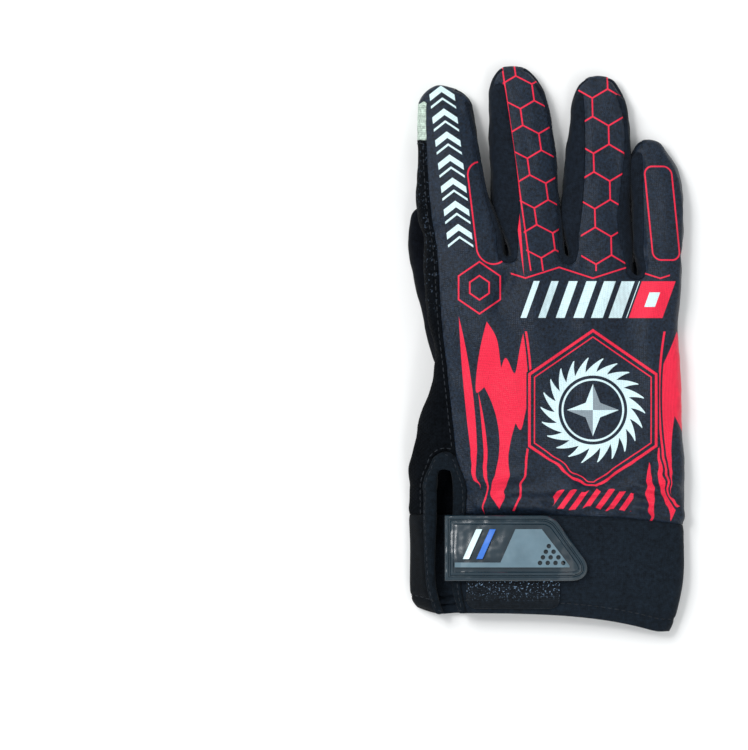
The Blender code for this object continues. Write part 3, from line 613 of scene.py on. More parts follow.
def fair(cage):
    """Moves the cage's points so that the smooth surface passes through the points as given."""
    count = len(cage.points)
    edge_use = {}
    diagonals = [[] for _ in range(count)]
    for face in cage.faces:
        for k in range(4):
            pair = (face[k], face[(k + 1) % 4])
            key = (min(pair), max(pair))
            edge_use[key] = edge_use.get(key, 0) + 1
            diagonals[face[k]].append(face[(k + 2) % 4])
    near = [[] for _ in range(count)]
    rim = [[] for _ in range(count)]
    for (a, b), uses in edge_use.items():
        near[a].append(b)
        near[b].append(a)
        if uses == 1:
            rim[a].append(b)
            rim[b].append(a)
    aims = [point.copy() for point in cage.points]
    moved = [point.copy() for point in cage.points]
    for _ in range(FAIRING_STEPS):
        steps = []
        for i in range(count):
            if not near[i]:
                limit = aims[i]
            elif rim[i]:
                limit = (4 * moved[i] + moved[rim[i][0]] + moved[rim[i][1]]) / 6
            else:
                n = len(near[i])
                edges = sum((moved[j] for j in near[i]), Vector())
                corners = sum((moved[j] for j in diagonals[i]), Vector())
                limit = (n * n * moved[i] + 4 * edges + corners) / (n * (n + 5))
            steps.append(aims[i] - limit)
        moved = [point + step for point, step in zip(moved, steps)]
    cage.points = moved


class Cloth:
    """The fine skin: points, quads and each quad's panel.

    settle adds the shift to the origin, and wrinkle each point's normal and distance to the hem.
    """

    def __init__(self, points, quads, panels):
        self.points = points
        self.quads = quads
        self.panels = panels
        self.shift = None
        self.normals = None
        self.hem = None

    def mask(self, panel):
        return self.panels == PANEL_NAMES.index(panel)


def read_out(items, attribute, numbers=1, kind=np.int64):
    """One attribute of all of a mesh's items, in one row."""
    values = np.zeros(len(items) * numbers, dtype=kind)
    items.foreach_get(attribute, values)
    return values


def fine_cloth(cage):
    """The cage as a smooth fine mesh."""
    mesh = bpy.data.meshes.new("cage")
    mesh.from_pydata([tuple(p) for p in cage.points], [], cage.faces)
    for _ in PANEL_NAMES:
        mesh.materials.append(None)
    mesh.polygons.foreach_set("material_index", [PANEL_NAMES.index(panel) for panel in cage.panels])
    holder = bpy.data.objects.new("cage", mesh)
    bpy.context.collection.objects.link(holder)
    surface = holder.modifiers.new("smooth", "SUBSURF")
    surface.levels = CLOTH_LEVELS
    surface.render_levels = CLOTH_LEVELS
    bpy.context.view_layer.update()
    shaped = bpy.data.meshes.new_from_object(holder.evaluated_get(bpy.context.evaluated_depsgraph_get()))
    points = read_out(shaped.vertices, "co", 3, float).reshape(-1, 3)
    quads = read_out(shaped.loops, "vertex_index").reshape(-1, 4)
    panels = read_out(shaped.polygons, "material_index")
    bpy.data.objects.remove(holder, do_unlink=True)
    bpy.data.meshes.remove(mesh)
    bpy.data.meshes.remove(shaped)
    return Cloth(points, quads, panels)


def settle(cloth):
    """Lays the skin on the floor, with the origin at the middle of its box."""
    used = np.unique(cloth.quads[~cloth.mask("open")])
    low = cloth.points[used].min(axis=0)
    high = cloth.points[used].max(axis=0)
    shift = np.array(((low[0] + high[0]) / 2, (low[1] + high[1]) / 2, 0.0))
    cloth.points = cloth.points - shift
    cloth.points[:, 2] = np.maximum(cloth.points[:, 2], 0.0)
    cloth.shift = shift


def unit(vectors):
    lengths = np.linalg.norm(vectors, axis=-1, keepdims=True)
    return vectors / np.maximum(lengths, TINY)


def point_normals(points, quads):
    corner = points[quads]
    across = np.cross(corner[:, 2] - corner[:, 0], corner[:, 3] - corner[:, 1])
    normals = np.zeros_like(points)
    for k in range(4):
        np.add.at(normals, quads[:, k], across)
    return unit(normals)


def is_among(edges, others):
    """For each directed edge, whether it is one of the others."""
    span = max(edges.max(), others.max()) + 1
    return np.isin(edges @ (span, 1), others @ (span, 1))


def border_edges(quads):
    """Edges of a run of quads that only one of them uses, in that quad's direction."""
    edges = np.concatenate([quads[:, (k, (k + 1) % 4)] for k in range(4)])
    return edges[~is_among(edges, edges[:, ::-1])]


def shared_edges(cloth, panel, other):
    """Edges along which two panels meet."""
    own = border_edges(cloth.quads[cloth.mask(panel)])
    return own[is_among(own, border_edges(cloth.quads[cloth.mask(other)])[:, ::-1])]


def outer_edges(cloth, panel, other):
    """Edges that a panel shares with any panel but the other."""
    own = border_edges(cloth.quads[cloth.mask(panel)])
    return own[is_among(own, border_edges(cloth.quads[cloth.mask(panel) | cloth.mask(other)]))]


def distance_to(points, edges):
    """Distance of each point to the nearest of many short edges between the points."""
    starts = points[edges[:, 0]]
    ends = points[edges[:, 1]]
    longest = np.linalg.norm(ends - starts, axis=1).max()
    parts = max(1, math.ceil(longest / EDGE_STEP))
    samples = np.concatenate([mix(starts, ends, k / parts) for k in range(parts)])
    tree = KDTree(len(samples))
    for i, sample in enumerate(samples):
        tree.insert(sample, i)
    tree.balance()
    return np.array([tree.find(point)[2] for point in points])


def waves(points, wave):
    """Heights of soft random waves of about that length."""
    picks = np.random.RandomState(wave.seed)
    total = np.zeros(len(points))
    for _ in range(WAVES_PER_PATTERN):
        direction = unit(picks.normal(size=3))
        turn = 2 * math.pi / (wave.length * picks.uniform(*WAVE_SPREAD))
        total += np.sin(points @ direction * turn + picks.uniform(0, 2 * math.pi))
    return total * wave.height / math.sqrt(2 * WAVES_PER_PATTERN)


def fold_heights(points, folds):
    """Sum of the folds: each is a soft crest that fades at both ends."""
    total = np.zeros(len(points))
    flat = points[:, :2] / MM
    for fold in folds:
        start = np.array((fold.x0, fold.y0))
        run = np.array((fold.x1, fold.y1)) - start
        length = np.linalg.norm(run)
        along = (flat - start) @ run / length
        across = (flat - start) @ np.array((-run[1], run[0])) / length
        ends = smooth(along / (FOLD_FADE * length)) * smooth((length - along) / (FOLD_FADE * length))
        total += fold.height * MM * bell(across, fold.width) * ends
    return total


def wrinkle(cloth, hem_width):
    """Gives the smooth skin its folds, soft waves and seam grooves."""
    points = cloth.points
    quads = [cloth.quads[cloth.mask(name)] for name in PANEL_NAMES]
    seam = distance_to(points, np.concatenate([border_edges(part) for part in quads if len(part)]))
    open_edges = border_edges(cloth.quads)
    hem = open_edges[np.isin(open_edges[:, 0], cloth.quads[~cloth.mask("open")])]
    cloth.hem = distance_to(points, hem)
    normals = point_normals(points, cloth.quads)
    upward = smooth(normals[:, 2] / TOP_SLOPE)
    on_cuff = smooth((CUFF_START_Y - points[:, 1]) / CUFF_BLEND)
    on_back = np.zeros(len(points))
    on_back[np.unique(cloth.quads[cloth.mask("back_panel")])] = 1.0
    lift = fold_heights(points, BACK_FOLDS) * upward * (1 - on_cuff)
    away = smooth(seam / WAVE_MARGIN)
    lift += waves(points, BROAD_WAVES) * away * mix(1.0, CUFF_WAVE_SHARE, on_cuff)
    lift += waves(points, SMALL_WAVES) * away * (1 - on_cuff)
    puckers = waves(points, PUCKERS) * bell(seam, PUCKER_REACH) * (1 - on_cuff)
    lift += puckers * mix(LOW_PUCKER_SHARE, 1.0, upward)
    lift -= SEAM_DIP * bell(seam, SEAM_DIP_WIDTH) * mix(LOW_DIP_SHARE, 1.0, upward)
    above_cuff = distance_to(points, shared_edges(cloth, "back_panel", "cuff"))
    roll = GATHER_HEIGHT * bell(above_cuff - GATHER_PLACE, GATHER_WIDTH) * upward * on_back
    lift += roll * (GATHER_EVEN + waves(points, GATHERS))
    lift -= HEM_DIP * bell(cloth.hem - hem_width, HEM_DIP_WIDTH) * on_cuff
    swell = HEEL_SWELL * bell(points[:, 1] - HEEL_SWELL_Y, HEEL_SWELL_REACH)
    lift += swell * smooth((HEEL_SWELL_X - points[:, 0]) / HEEL_SWELL_RAMP)
    cloth.points = points + normals * lift[:, None]
    cloth.points[:, 2] = np.maximum(cloth.points[:, 2], 0.0)
    cloth.normals = point_normals(cloth.points, cloth.quads)


@functools.cache
def glove_cloth():
    """The whole skin, made once from the sizes in the scene."""
    size = bpy.context.scene.glove_size
    cage = Cage(size)
    fingers = glove_fingers(size)
    roots = [build_finger(cage, finger, i == INDEX) for i, finger in enumerate(fingers)]
    join_crotches(cage, roots, fingers)
    rings = build_hand(cage, roots)
    build_thumb(cage, rings)
    fair(cage)
    cloth = fine_cloth(cage)
    settle(cloth)
    wrinkle(cloth, size.hem_width)
    return cloth


def wall_limits(cloth):
    """The most that each point can go inward before the wall's inner side folds over itself."""
    limits = np.full(len(cloth.points), 1.0)
    for step in (1, 2):
        for k in range(4):
            a = cloth.quads[:, k]
            b = cloth.quads[:, (k + step) % 4]
            along = cloth.points[b] - cloth.points[a]
            bend = np.einsum("ij,ij->i", cloth.normals[b] - cloth.normals[a], along)
            most = FOLD_SHARE * np.einsum("ij,ij->i", along, along) / np.maximum(bend, TINY)
            np.minimum.at(limits, a, most)
            np.minimum.at(limits, b, most)
    return limits


def new_mesh_object(name, points, faces):
    mesh = bpy.data.meshes.new(name)
    mesh.from_pydata(points, [], faces)
    mesh.validate()
    piece = bpy.data.objects.new(name, mesh)
    bpy.context.collection.objects.link(piece)
    mesh.shade_smooth()
    return piece


def tape_dome(inside):
    """How far the tape stands up at a distance inside its edges."""
    return TAPE_PROUD * np.sqrt(1 - (1 - np.clip(inside / TAPE_ROUND, 0.0, 1.0)) ** 2)


def cloth_panel(name, wall):
    """A closed wall beneath one panel's quads, with its edges turned in at the seams."""
    cloth = glove_cloth()
    quads = cloth.quads[cloth.mask(name)]
    order, local = np.unique(quads, return_inverse=True)
    local = local.reshape(-1, 4)
    points = cloth.points[order]
    normals = cloth.normals[order]
    border = border_edges(local)
    centres = points[local].mean(axis=1)
    pull = np.zeros_like(points)
    for k in range(4):
        np.add.at(pull, local[:, k], centres - points[local[:, k]])
    pull = unit(pull - normals * np.einsum("ij,ij->i", pull, normals)[:, None])
    rim = np.unique(border)
    edge = points.copy()
    edge[rim] += pull[rim] * bpy.context.scene.glove_size.seam_gap / 2
    if name == "slit_binding":
        outer = distance_to(cloth.points, outer_edges(cloth, name, "open"))[order]
        dip = TAPE_DIP * bell(outer - TAPE_STITCH_INSET, TAPE_DIP_WIDTH)
        edge += normals * (tape_dome(distance_to(points, border)) - dip)[:, None]
    edge[:, 2] = np.maximum(edge[:, 2], 0.0)
    depth = np.minimum(wall, wall_limits(cloth)[order])
    inner = points - normals * depth[:, None]
    count = len(order)
    faces = local.tolist()
    faces += (local[:, ::-1] + count).tolist()
    faces += [[b, a, a + count, b + count] for a, b in border.tolist()]
    return new_mesh_object(name, np.concatenate([edge, inner]).tolist(), faces)


class Field:
    """A number that varies over a surface. Sums and products of fields become shader nodes."""

    def __init__(self, tree, socket):
        self.tree = tree
        self.socket = socket

    def node(self, operation, *others, clamp=False):
        maths = self.tree.nodes.new("ShaderNodeMath")
        maths.operation = operation
        maths.use_clamp = clamp
        for slot, value in enumerate((self, *others)):
            if isinstance(value, Field):
                self.tree.links.new(value.socket, maths.inputs[slot])
            else:
                maths.inputs[slot].default_value = value
        return Field(self.tree, maths.outputs[0])

    __add__ = functools.partialmethod(node, "ADD")
    __sub__ = functools.partialmethod(node, "SUBTRACT")
    __rsub__ = functools.partialmethod(node, "MULTIPLY_ADD", -1.0)
    __mul__ = functools.partialmethod(node, "MULTIPLY")
    __truediv__ = functools.partialmethod(node, "DIVIDE")
    __abs__ = functools.partialmethod(node, "ABSOLUTE")
    least = functools.partialmethod(node, "MINIMUM")
    most = functools.partialmethod(node, "MAXIMUM")
    sine = functools.partialmethod(node, "SINE")

    def wrapped(self, period):
        """Repeats every period, from minus half of it to half of it."""
        return self.node("WRAP", period / 2, -period / 2)

    def ramp(self, reach):
        """0 where the field is 0 and 1 where it gets to the reach, which may be negative."""
        return self.node("MULTIPLY", 1.0 / reach, clamp=True)

    def ink(self):
        """1 where a distance is below zero, 0 where it is above, with a soft edge between."""
        return self.node("MULTIPLY_ADD", -1.0 / INK_EDGE, 0.5, clamp=True)


def hypotenuse(u, v):
    return (u * u + v * v).node("SQRT")


def stroke(distance, width):
    """A line of that width along the edge of a shape."""
    return abs(distance) - width / 2


def block(u, v, area):
    """Distance from the edge of a rectangle."""
    return (abs(u - area.u) - area.half_u).most(abs(v - area.v) - area.half_v)


def rounded(u, v, area):
    """Distance from the edge of a block with round corners added all round it."""
    past_u = (abs(u - area.u) - area.half_u).most(0.0)
    past_v = (abs(v - area.v) - area.half_v).most(0.0)
    return hypotenuse(past_u, past_v) - area.radius


def bars(u, period, half, shift=0.0):
    """Bars of that half width, one in each period."""
    return abs((u - shift).wrapped(period)) - half


def honeycomb(u, v, cell):
    """Distance inside the nearest cell's edge, for six-sided cells of that width."""
    tall = cell * math.sqrt(3)

    def span(shift_u, shift_v):
        a = abs((u - shift_u).wrapped(cell))
        b = abs((v - shift_v).wrapped(tall))
        return a.most(a * 0.5 + b * (math.sqrt(3) / 2))

    return cell / 2 - span(0.0, 0.0).least(span(cell / 2, tall / 2))


def hexagon(u, v):
    """Distance from the middle of a tall hexagon, measured so that its edges lie at even values."""
    return abs(u).most(abs(u) * HEXAGON_ACROSS + abs(v) * HEXAGON_ALONG)


def arc_side(u, v, start, end, sagitta):
    """Distance past an arc from start to end; its bulge, to the right of the way there, counts inside."""
    start = Vector(start)
    end = Vector(end)
    chord = (end - start).length
    radius = (chord * chord / 4 + sagitta * sagitta) / (2 * abs(sagitta))
    right = Vector((end.y - start.y, start.x - end.x)).normalized()
    side = math.copysign(1.0, sagitta)
    centre = (start + end) / 2 + right * (sagitta - side * radius)
    return (hypotenuse(u - centre.x, v - centre.y) - radius) * side


# All sizes of the print are in millimetres. INK_EDGE is how softly an ink ends, and LINE a red line's width.
INK_EDGE = 0.12
LINE = 0.62
HEXAGON_ACROSS = 0.55
HEXAGON_ALONG = 0.80

# A pointed blade between two tips: how far each of its edges bulges to the right of the way from x0 y0 to
# x1 y1. A flame: blades that are joined, blades that are cut out of them, and how softly both blend.
Blade = namedtuple("Blade", "x0 y0 x1 y1 left right")
Flame = namedtuple("Flame", "joined cut blend", defaults=((), 0.0))
FLAMES = (
    Flame(
        (Blade(-20, -67, -25, 11, -7.0, 11.5), Blade(-13, -38, -9.5, 8, -2.0, 4.0)),
        (Blade(-40, -78, -26, -16, -9.0, 12.5), Blade(-9, -78, -13, -31, -5.0, 4.5),
         Blade(-19, -8, -17, 22, -1.8, 1.8)),
        4.0,
    ),
    Flame(
        (Blade(51, -72, 54, 7, -6.5, 8.0), Blade(46, -14, 60, 6, -2.5, 5.0)),
        (Blade(60, -84, 53, -28, -4.2, 5.5), Blade(44, -40, 45, 14, -3.0, 1.5)),
        4.0,
    ),
    Flame((Blade(-29, -60, -36.5, 13, -1.0, 2.6),)),
    Flame((Blade(-25, -68, -28.5, -18, 0.6, 2.2),)),
    Flame((Blade(43, -74, 42.5, -47, -1.8, 1.6),)),
    Flame((Blade(-9.6, 30, -17.6, 111, -0.9, 0.9),)),
)

# A rectangle of the print: its middle, half its size, and the radius that may be added round it
Area = namedtuple("Area", "u v half_u half_v radius", defaults=(0.0,))
MIDDLE_EDGE = Area(-2.6, 75.0, 0.3, 43.0)
PINKY_PAD = Area(2.2, 56.0, 2.2, 16.0, 3.4)
INDEX_LOOP = Area(11.5, 56.0, 0.0, 15.0, 6.2)

# Honeycomb on a finger: where its cells start beside the finger's axis, their width, and how tall they are
# drawn out.
Comb = namedtuple("Comb", "finger start_u start_v cell stretch area")
COMBS = (
    Comb(MIDDLE, 2.5, 3.0, 12.4, 0.96, Area(5.2, 78.0, 8.5, 46.0)),
    Comb(RING, 4.5, 8.0, 13.0, 1.02, Area(1.5, 78.0, 9.5, 46.0)),
)

# The hexagon on the first knuckle: its middle and its two edges. The zigzag line below the fingers: its
# level, the place of a low point, its period and slope, and the middle and half length of its run.
KNUCKLE_U = -28.0
KNUCKLE_V = 25.0
KNUCKLE_EDGES = (8.6, 4.0)
WEB_V = 33.5
WEB_START = 5.0
WEB_PERIOD = 28.0
WEB_SLOPE = 0.32
WEB_MIDDLE = 18.0
WEB_HALF = 33.0

# Arrows up the index finger: their middle line, slope and period, and the half width and place of the wide
# and the thin one in each.
ARROW_MIDDLE = -1.2
ARROW_SLOPE = 0.72
ARROW_PERIOD = 9.6
ARROWS = ((1.35, 2.0), (0.5, -2.1))
ARROW_AREA = Area(0.0, 76.4, 5.2, 33.4)

# The slanted band across the knuckles: its place and half height, its bars, whose half width grows by a
# share over a reach, and a red block at its end with a white one in it.
BAND_SLANT = 0.36
BAND_V = 20.2
BAND_HALF = 7.6
BAND_PERIOD = 7.6
BAND_START = -14.4
BAND_BAR_HALF = 1.2
BAND_GROWTH = 1.9
GROWTH_START = -15.0
GROWTH_REACH = 48.0
BAND_AREA = Area(6.0, BAND_V, 22.6, BAND_HALF)
BLOCK_U = 36.4
RED_BLOCK = Area(BLOCK_U, BAND_V, 7.0, BAND_HALF)
WHITE_BLOCK = Area(BLOCK_U, BAND_V, 2.2, 3.0)

# The badge: its middle, the clear ground round it, its outlines with their widths, the rosette's twisted
# teeth and ring, and the reach and slope of the star.
BADGE_U = 19.0
BADGE_V = -25.5
BADGE_GROUND = 27.6
BADGE_OUTLINES = ((26.3, 1.1), (24.2, 0.5))
TOOTH_PERIOD = math.pi / 11
TOOTH_TWIST = 0.042
TOOTH_TIP = 22.4
TOOTH_SLOPE = 0.34
ROSETTE_RADIUS = 18.0
ROSETTE_HALF = 3.7
INNER_RADIUS = 12.6
INNER_WIDTH = 0.8
STAR_REACH = 10.8
STAR_SLOPE = 2.6

# Pinstripes on both sides of the badge: their places, width, bend and run, and the clear ground round them.
# The hatch below the badge: its slant, period, half width and reach.
STRIPE_LEFT = -6.5
STRIPE_RIGHT = 46.5
STRIPE_WIDTH = 0.9
STRIPE_BEND = 0.0032
BEND_V = -20.0
STRIPE_V = -30.0
STRIPE_HALF = 37.0
TRIM_GROUND = 0.8
HATCH_SLANT = 0.7
HATCH_PERIOD = 5.2
HATCH_HALF = 1.3
HATCH_AREA = Area(BADGE_U, -63.0, 17.0, 3.0)


def blade_field(u, v, blade):
    start = (blade.x0, blade.y0)
    end = (blade.x1, blade.y1)
    return arc_side(u, v, start, end, blade.right).most(0.0 - arc_side(u, v, start, end, blade.left))


def flame_field(u, v, flame):
    shape = blade_field(u, v, flame.joined[0])
    for blade in flame.joined[1:]:
        shape = shape.node("SMOOTH_MIN", blade_field(u, v, blade), flame.blend)
    for blade in flame.cut:
        shape = shape.node("SMOOTH_MAX", 0.0 - blade_field(u, v, blade), flame.blend)
    return shape


def feed(tree, colour, socket):
    """Gives an input a colour, or links it to a socket that makes one."""
    if isinstance(colour, bpy.types.NodeSocket):
        tree.links.new(colour, socket)
    else:
        socket.default_value = (*colour, 1.0)


class Inks:
    """Layers of colour on a ground, each laid where its field is ink."""

    def __init__(self, tree, ground):
        self.tree = tree
        self.ground = ground
        self.colour = ground

    def lay(self, mask, colour):
        mixer = self.tree.nodes.new("ShaderNodeMix")
        mixer.data_type = "RGBA"
        self.tree.links.new(mask.socket, mixer.inputs["Factor"])
        feed(self.tree, self.colour, mixer.inputs["A"])
        feed(self.tree, colour, mixer.inputs["B"])
        self.colour = mixer.outputs["Result"]


def beside(u, v, place):
    """Distance beside a finger's axis."""
    size = bpy.context.scene.glove_size
    finger = glove_fingers(size)[place]
    shift = glove_cloth().shift
    start_x = finger.root * size.hand[0] - shift[0]
    start_y = -finger.drop * size.hand[1] - shift[1]
    return u - (v * finger.lean + (start_x - finger.lean * start_y) / MM)


def print_fingers(u, v):
    """Red lines of the finger prints, as one field."""
    lines = [block(beside(u, v, MIDDLE), v, MIDDLE_EDGE)]
    for comb in COMBS:
        across = beside(u, v, comb.finger)
        cells = honeycomb(across - comb.start_u, (v - comb.start_v) / comb.stretch, comb.cell)
        lines.append(stroke(cells, LINE).most(block(across, v, comb.area)))
    for place, area in ((PINKY, PINKY_PAD), (INDEX, INDEX_LOOP)):
        lines.append(stroke(rounded(beside(u, v, place), v, area), LINE))
    knuckle = hexagon(u - KNUCKLE_U, v - KNUCKLE_V)
    lines += [stroke(knuckle - edge, LINE) for edge in KNUCKLE_EDGES]
    web = v - WEB_V + abs((u - WEB_START).wrapped(WEB_PERIOD)) * WEB_SLOPE
    lines.append(stroke(web, LINE).most(abs(u - WEB_MIDDLE) - WEB_HALF))
    return functools.reduce(Field.least, lines)


def print_arrows(u, v):
    """White arrows up the index finger."""
    across = beside(u, v, INDEX) - ARROW_MIDDLE
    slanted = v + abs(across) * ARROW_SLOPE
    wide, thin = [bars(slanted, ARROW_PERIOD, half, place) for half, place in ARROWS]
    return wide.least(thin).most(block(across, slanted, ARROW_AREA))


def print_band(u, v):
    """White bars that grow toward the little finger across the knuckles, and a red block at their end."""
    slanted = u - v * BAND_SLANT
    half = (slanted - GROWTH_START) / GROWTH_REACH * BAND_GROWTH + BAND_BAR_HALF
    white = bars(slanted, BAND_PERIOD, half, BAND_START).most(block(slanted, v, BAND_AREA))
    return white.least(block(slanted, v, WHITE_BLOCK)), block(slanted, v, RED_BLOCK)


def print_badge(u, v):
    """Red outlines of a long hexagon, with a white rosette round a four-pointed star in it."""
    outline = hexagon(u, v)
    outer, inner = [stroke(outline - edge, width) for edge, width in BADGE_OUTLINES]
    radius = hypotenuse(u, v)
    angle = v.node("ARCTAN2", u) + radius * TOOTH_TWIST
    teeth = abs(angle.wrapped(TOOTH_PERIOD)) * radius - (TOOTH_TIP - radius) * TOOTH_SLOPE
    rosette = teeth.most(abs(radius - ROSETTE_RADIUS) - ROSETTE_HALF)
    white = rosette.least(stroke(radius - INNER_RADIUS, INNER_WIDTH))
    star = abs(u).least(abs(v)) * STAR_SLOPE + abs(u).most(abs(v)) - STAR_REACH
    shaded_half = (u * v).node("GREATER_THAN", 0.0)
    return white.least(star), outer.least(inner), star.ink() * shaded_half


def print_trim(u, v):
    """Pinstripes that run from the knuckles to the cuff on both sides of the badge, and the hatch."""
    bend = (v - BEND_V) * (v - BEND_V) * STRIPE_BEND
    left = stroke(u - STRIPE_LEFT + bend, STRIPE_WIDTH)
    right = stroke(u - STRIPE_RIGHT - bend, STRIPE_WIDTH)
    stripes = left.least(right).most(abs(v - STRIPE_V) - STRIPE_HALF)
    hatch = bars(u - v * HATCH_SLANT, HATCH_PERIOD, HATCH_HALF)
    return stripes.least(hatch.most(block(u, v, HATCH_AREA)))


def print_layers(inks, u, v, look):
    """The whole print, layer over layer."""
    for flame in FLAMES:
        inks.lay(flame_field(u, v, flame).ink(), look.red)
    trim = print_trim(u, v)
    inks.lay((trim - TRIM_GROUND).ink(), inks.ground)
    inks.lay(print_fingers(u, v).least(trim).ink(), look.red)
    badge_u = u - BADGE_U
    badge_v = v - BADGE_V
    inks.lay((hexagon(badge_u, badge_v) - BADGE_GROUND).ink(), inks.ground)
    band_white, band_red = print_band(u, v)
    badge_white, badge_red, star_shade = print_badge(badge_u, badge_v)
    inks.lay(badge_red.least(band_red).ink(), look.red)
    inks.lay(badge_white.least(print_arrows(u, v)).least(band_white).ink(), look.white)
    inks.lay(star_shade, look.steel)


# Grain of the materials: the lengths of its clouds, mottling, fibres and gloss, the sheen's roughness, and
# the least that cloth is shaded to. A quarter turn sets the knit's waves off from each other.
HEATHER_LENGTH = 1.2 * MM
PRINT_PITCH = 0.72 * MM
PRINT_CLOUDS = 22 * MM
PRINT_MOTTLE = 1.5 * MM
PRINT_FUZZ = 0.35 * MM
PRINT_DEPTH = 0.10 * MM
CLOTH_CLOUDS = 16 * MM
CLOTH_MOTTLE = 1.7 * MM
CLOTH_NAP = 0.5 * MM
GLOSS_CLOUDS = 7 * MM
GLOSS_SWELLS = 5.5 * MM
FLOOR_CLOUDS = 500 * MM
SOFT_SHEEN = 0.4
DARKEST = 0.1
QUARTER_TURN = 1.57

# The print wavers where the cloth is bunched: from where, over what length, and how far each way
BUNCH_START = -42 * MM
BUNCH_REACH = -16 * MM
BUNCH_LENGTH = 9 * MM
BUNCH_STEP = (7.0, 9.0)

# Pale specks show where their noise is above a level, with a soft edge, and fade in over a length
SPECK_LEVEL = 0.60
SPECK_EDGE = 1 / 16
SPECK_FADE = 12 * MM

# One row for each plain cloth, in millimetres. pitch, depth: width and height of its knit, or of its ribs.
# speck: the length of its specks, how bright they are beside the cloth, and the y from which they show.
# dim: the x of the end toward which shade is painted, over what length, and how dark it gets.
Weave = namedtuple("Weave", "name pitch depth roughness sheen shine ribbed speck dim",
                   defaults=(0.10, False, None, None))
WEAVES = {
    "palm": Weave("palm_suede", 1.6, 0.16, 0.80, 0.01, 0.03, speck=(1.3, 14.0, 12)),
    "stretch": Weave("stretch_knit", 0.9, 0.12, 0.80, 0.05),
    "thumb": Weave("thumb_jersey", 0.8, 0.10, 0.85, 0.03, 0.05),
    "touch": Weave("touch_knit", 0.8, 0.12, 0.55, 0.05, ribbed=True, speck=(2.4, -0.35, 0)),
    # The cuff gets painted shade toward its end at the index side, where it curves down to the floor.
    "cuff": Weave("cuff_neoprene", 0.75, 0.10, 0.80, 0.05, dim=(-49, 9, 0.30)),
    "tape": Weave("binding_tape", 0.9, 0.10, 0.80, 0.03, 0.07),
    "thread": Weave("stitching_thread", 0.5, 0.10, 0.55, 0.05),
    "loops": Weave("loop_pile", 0.6, 0.40, 0.90, 0.08, speck=(0.8, 60.0, -105)),
}

# One row for each plastic. swell: height of the long low swells of its surface, in millimetres.
Moulding = namedtuple("Moulding", "name roughness swell")
MOULDINGS = {
    "tab": Moulding("tab_plastic", 0.22, 0.60),
    "plate": Moulding("plate_plastic", 0.38, 0.25),
    "white": Moulding("white_plastic", 0.35, 0.25),
    "blue": Moulding("blue_plastic", 0.35, 0.25),
}


def new_material(name):
    material = bpy.data.materials.new(name)
    material.use_nodes = True
    tree = material.node_tree
    shader = tree.nodes["Principled BSDF"]
    place = tree.nodes.new("ShaderNodeTexCoord").outputs["Object"]
    return material, tree, shader, place


def axes(tree, place):
    split = tree.nodes.new("ShaderNodeSeparateXYZ")
    tree.links.new(place, split.inputs[0])
    return [Field(tree, output) for output in split.outputs]


def noise(tree, place, length, detail=2.0, rough=0.5):
    texture = tree.nodes.new("ShaderNodeTexNoise")
    tree.links.new(place, texture.inputs["Vector"])
    texture.inputs["Scale"].default_value = 1.0 / length
    texture.inputs["Detail"].default_value = detail
    texture.inputs["Roughness"].default_value = rough
    return Field(tree, texture.outputs["Fac"])


def knit(x, y, z, pitch):
    """A lattice of small humps that looks knitted on a surface of any direction."""
    turn = 2 * math.pi / pitch
    pairs = ((x, y), (y, z), (z, x))
    humps = [(a * turn).sine() * (b * turn + QUARTER_TURN).sine() for a, b in pairs]
    return humps[0] + humps[1] + humps[2]


def add_bump(tree, shader, height, distance, strength):
    bump = tree.nodes.new("ShaderNodeBump")
    bump.inputs["Strength"].default_value = strength
    bump.inputs["Distance"].default_value = distance
    tree.links.new(height.socket, bump.inputs["Height"])
    tree.links.new(bump.outputs["Normal"], shader.inputs["Normal"])


def tinted(tree, colour, shade):
    """A colour, or a socket that gives one, multiplied by a grey field."""
    mixer = tree.nodes.new("ShaderNodeMix")
    mixer.data_type = "RGBA"
    mixer.blend_type = "MULTIPLY"
    mixer.inputs["Factor"].default_value = 1.0
    feed(tree, colour, mixer.inputs["A"])
    grey = tree.nodes.new("ShaderNodeCombineColor")
    for slot in range(3):
        tree.links.new(shade.socket, grey.inputs[slot])
    tree.links.new(grey.outputs[0], mixer.inputs["B"])
    return mixer.outputs["Result"]


def set_shader(shader, **values):
    for name, value in values.items():
        shader.inputs[name.replace("_", " ")].default_value = value


def bunched(tree, place, x, y):
    """Print coordinates in millimetres, which waver near the cuff, where the cloth is gathered."""
    near = (y - BUNCH_START).ramp(BUNCH_REACH)
    waver = (noise(tree, place, BUNCH_LENGTH, 1.0) - 0.5) * near
    return x / MM + waver * BUNCH_STEP[0], y / MM + waver * BUNCH_STEP[1]


def printed_material(look):
    """Heathered knit with the print in its inks."""
    material, tree, shader, place = new_material("printed_knit")
    x, y, z = axes(tree, place)
    heather = noise(tree, place, HEATHER_LENGTH, 3.0, 0.75)
    inks = Inks(tree, tinted(tree, look.ground, (heather * 4.4 - 1.2).most(DARKEST)))
    print_layers(inks, *bunched(tree, place, x, y), look)
    weave = knit(x, y, z, PRINT_PITCH)
    clouds = noise(tree, place, PRINT_CLOUDS)
    mottle = noise(tree, place, PRINT_MOTTLE, 3.0, 0.7)
    tone = weave * 0.10 + clouds * 0.20 + mottle * 0.40 + 0.69
    tree.links.new(tinted(tree, inks.colour, tone), shader.inputs["Base Color"])
    set_shader(shader, Roughness=0.40, Sheen_Weight=0.03, Sheen_Roughness=SOFT_SHEEN, Specular_IOR_Level=0.22)
    fuzz = noise(tree, place, PRINT_FUZZ, 3.0, 0.6)
    add_bump(tree, shader, weave * 0.5 + fuzz * 0.6, PRINT_DEPTH, 0.7)
    return material


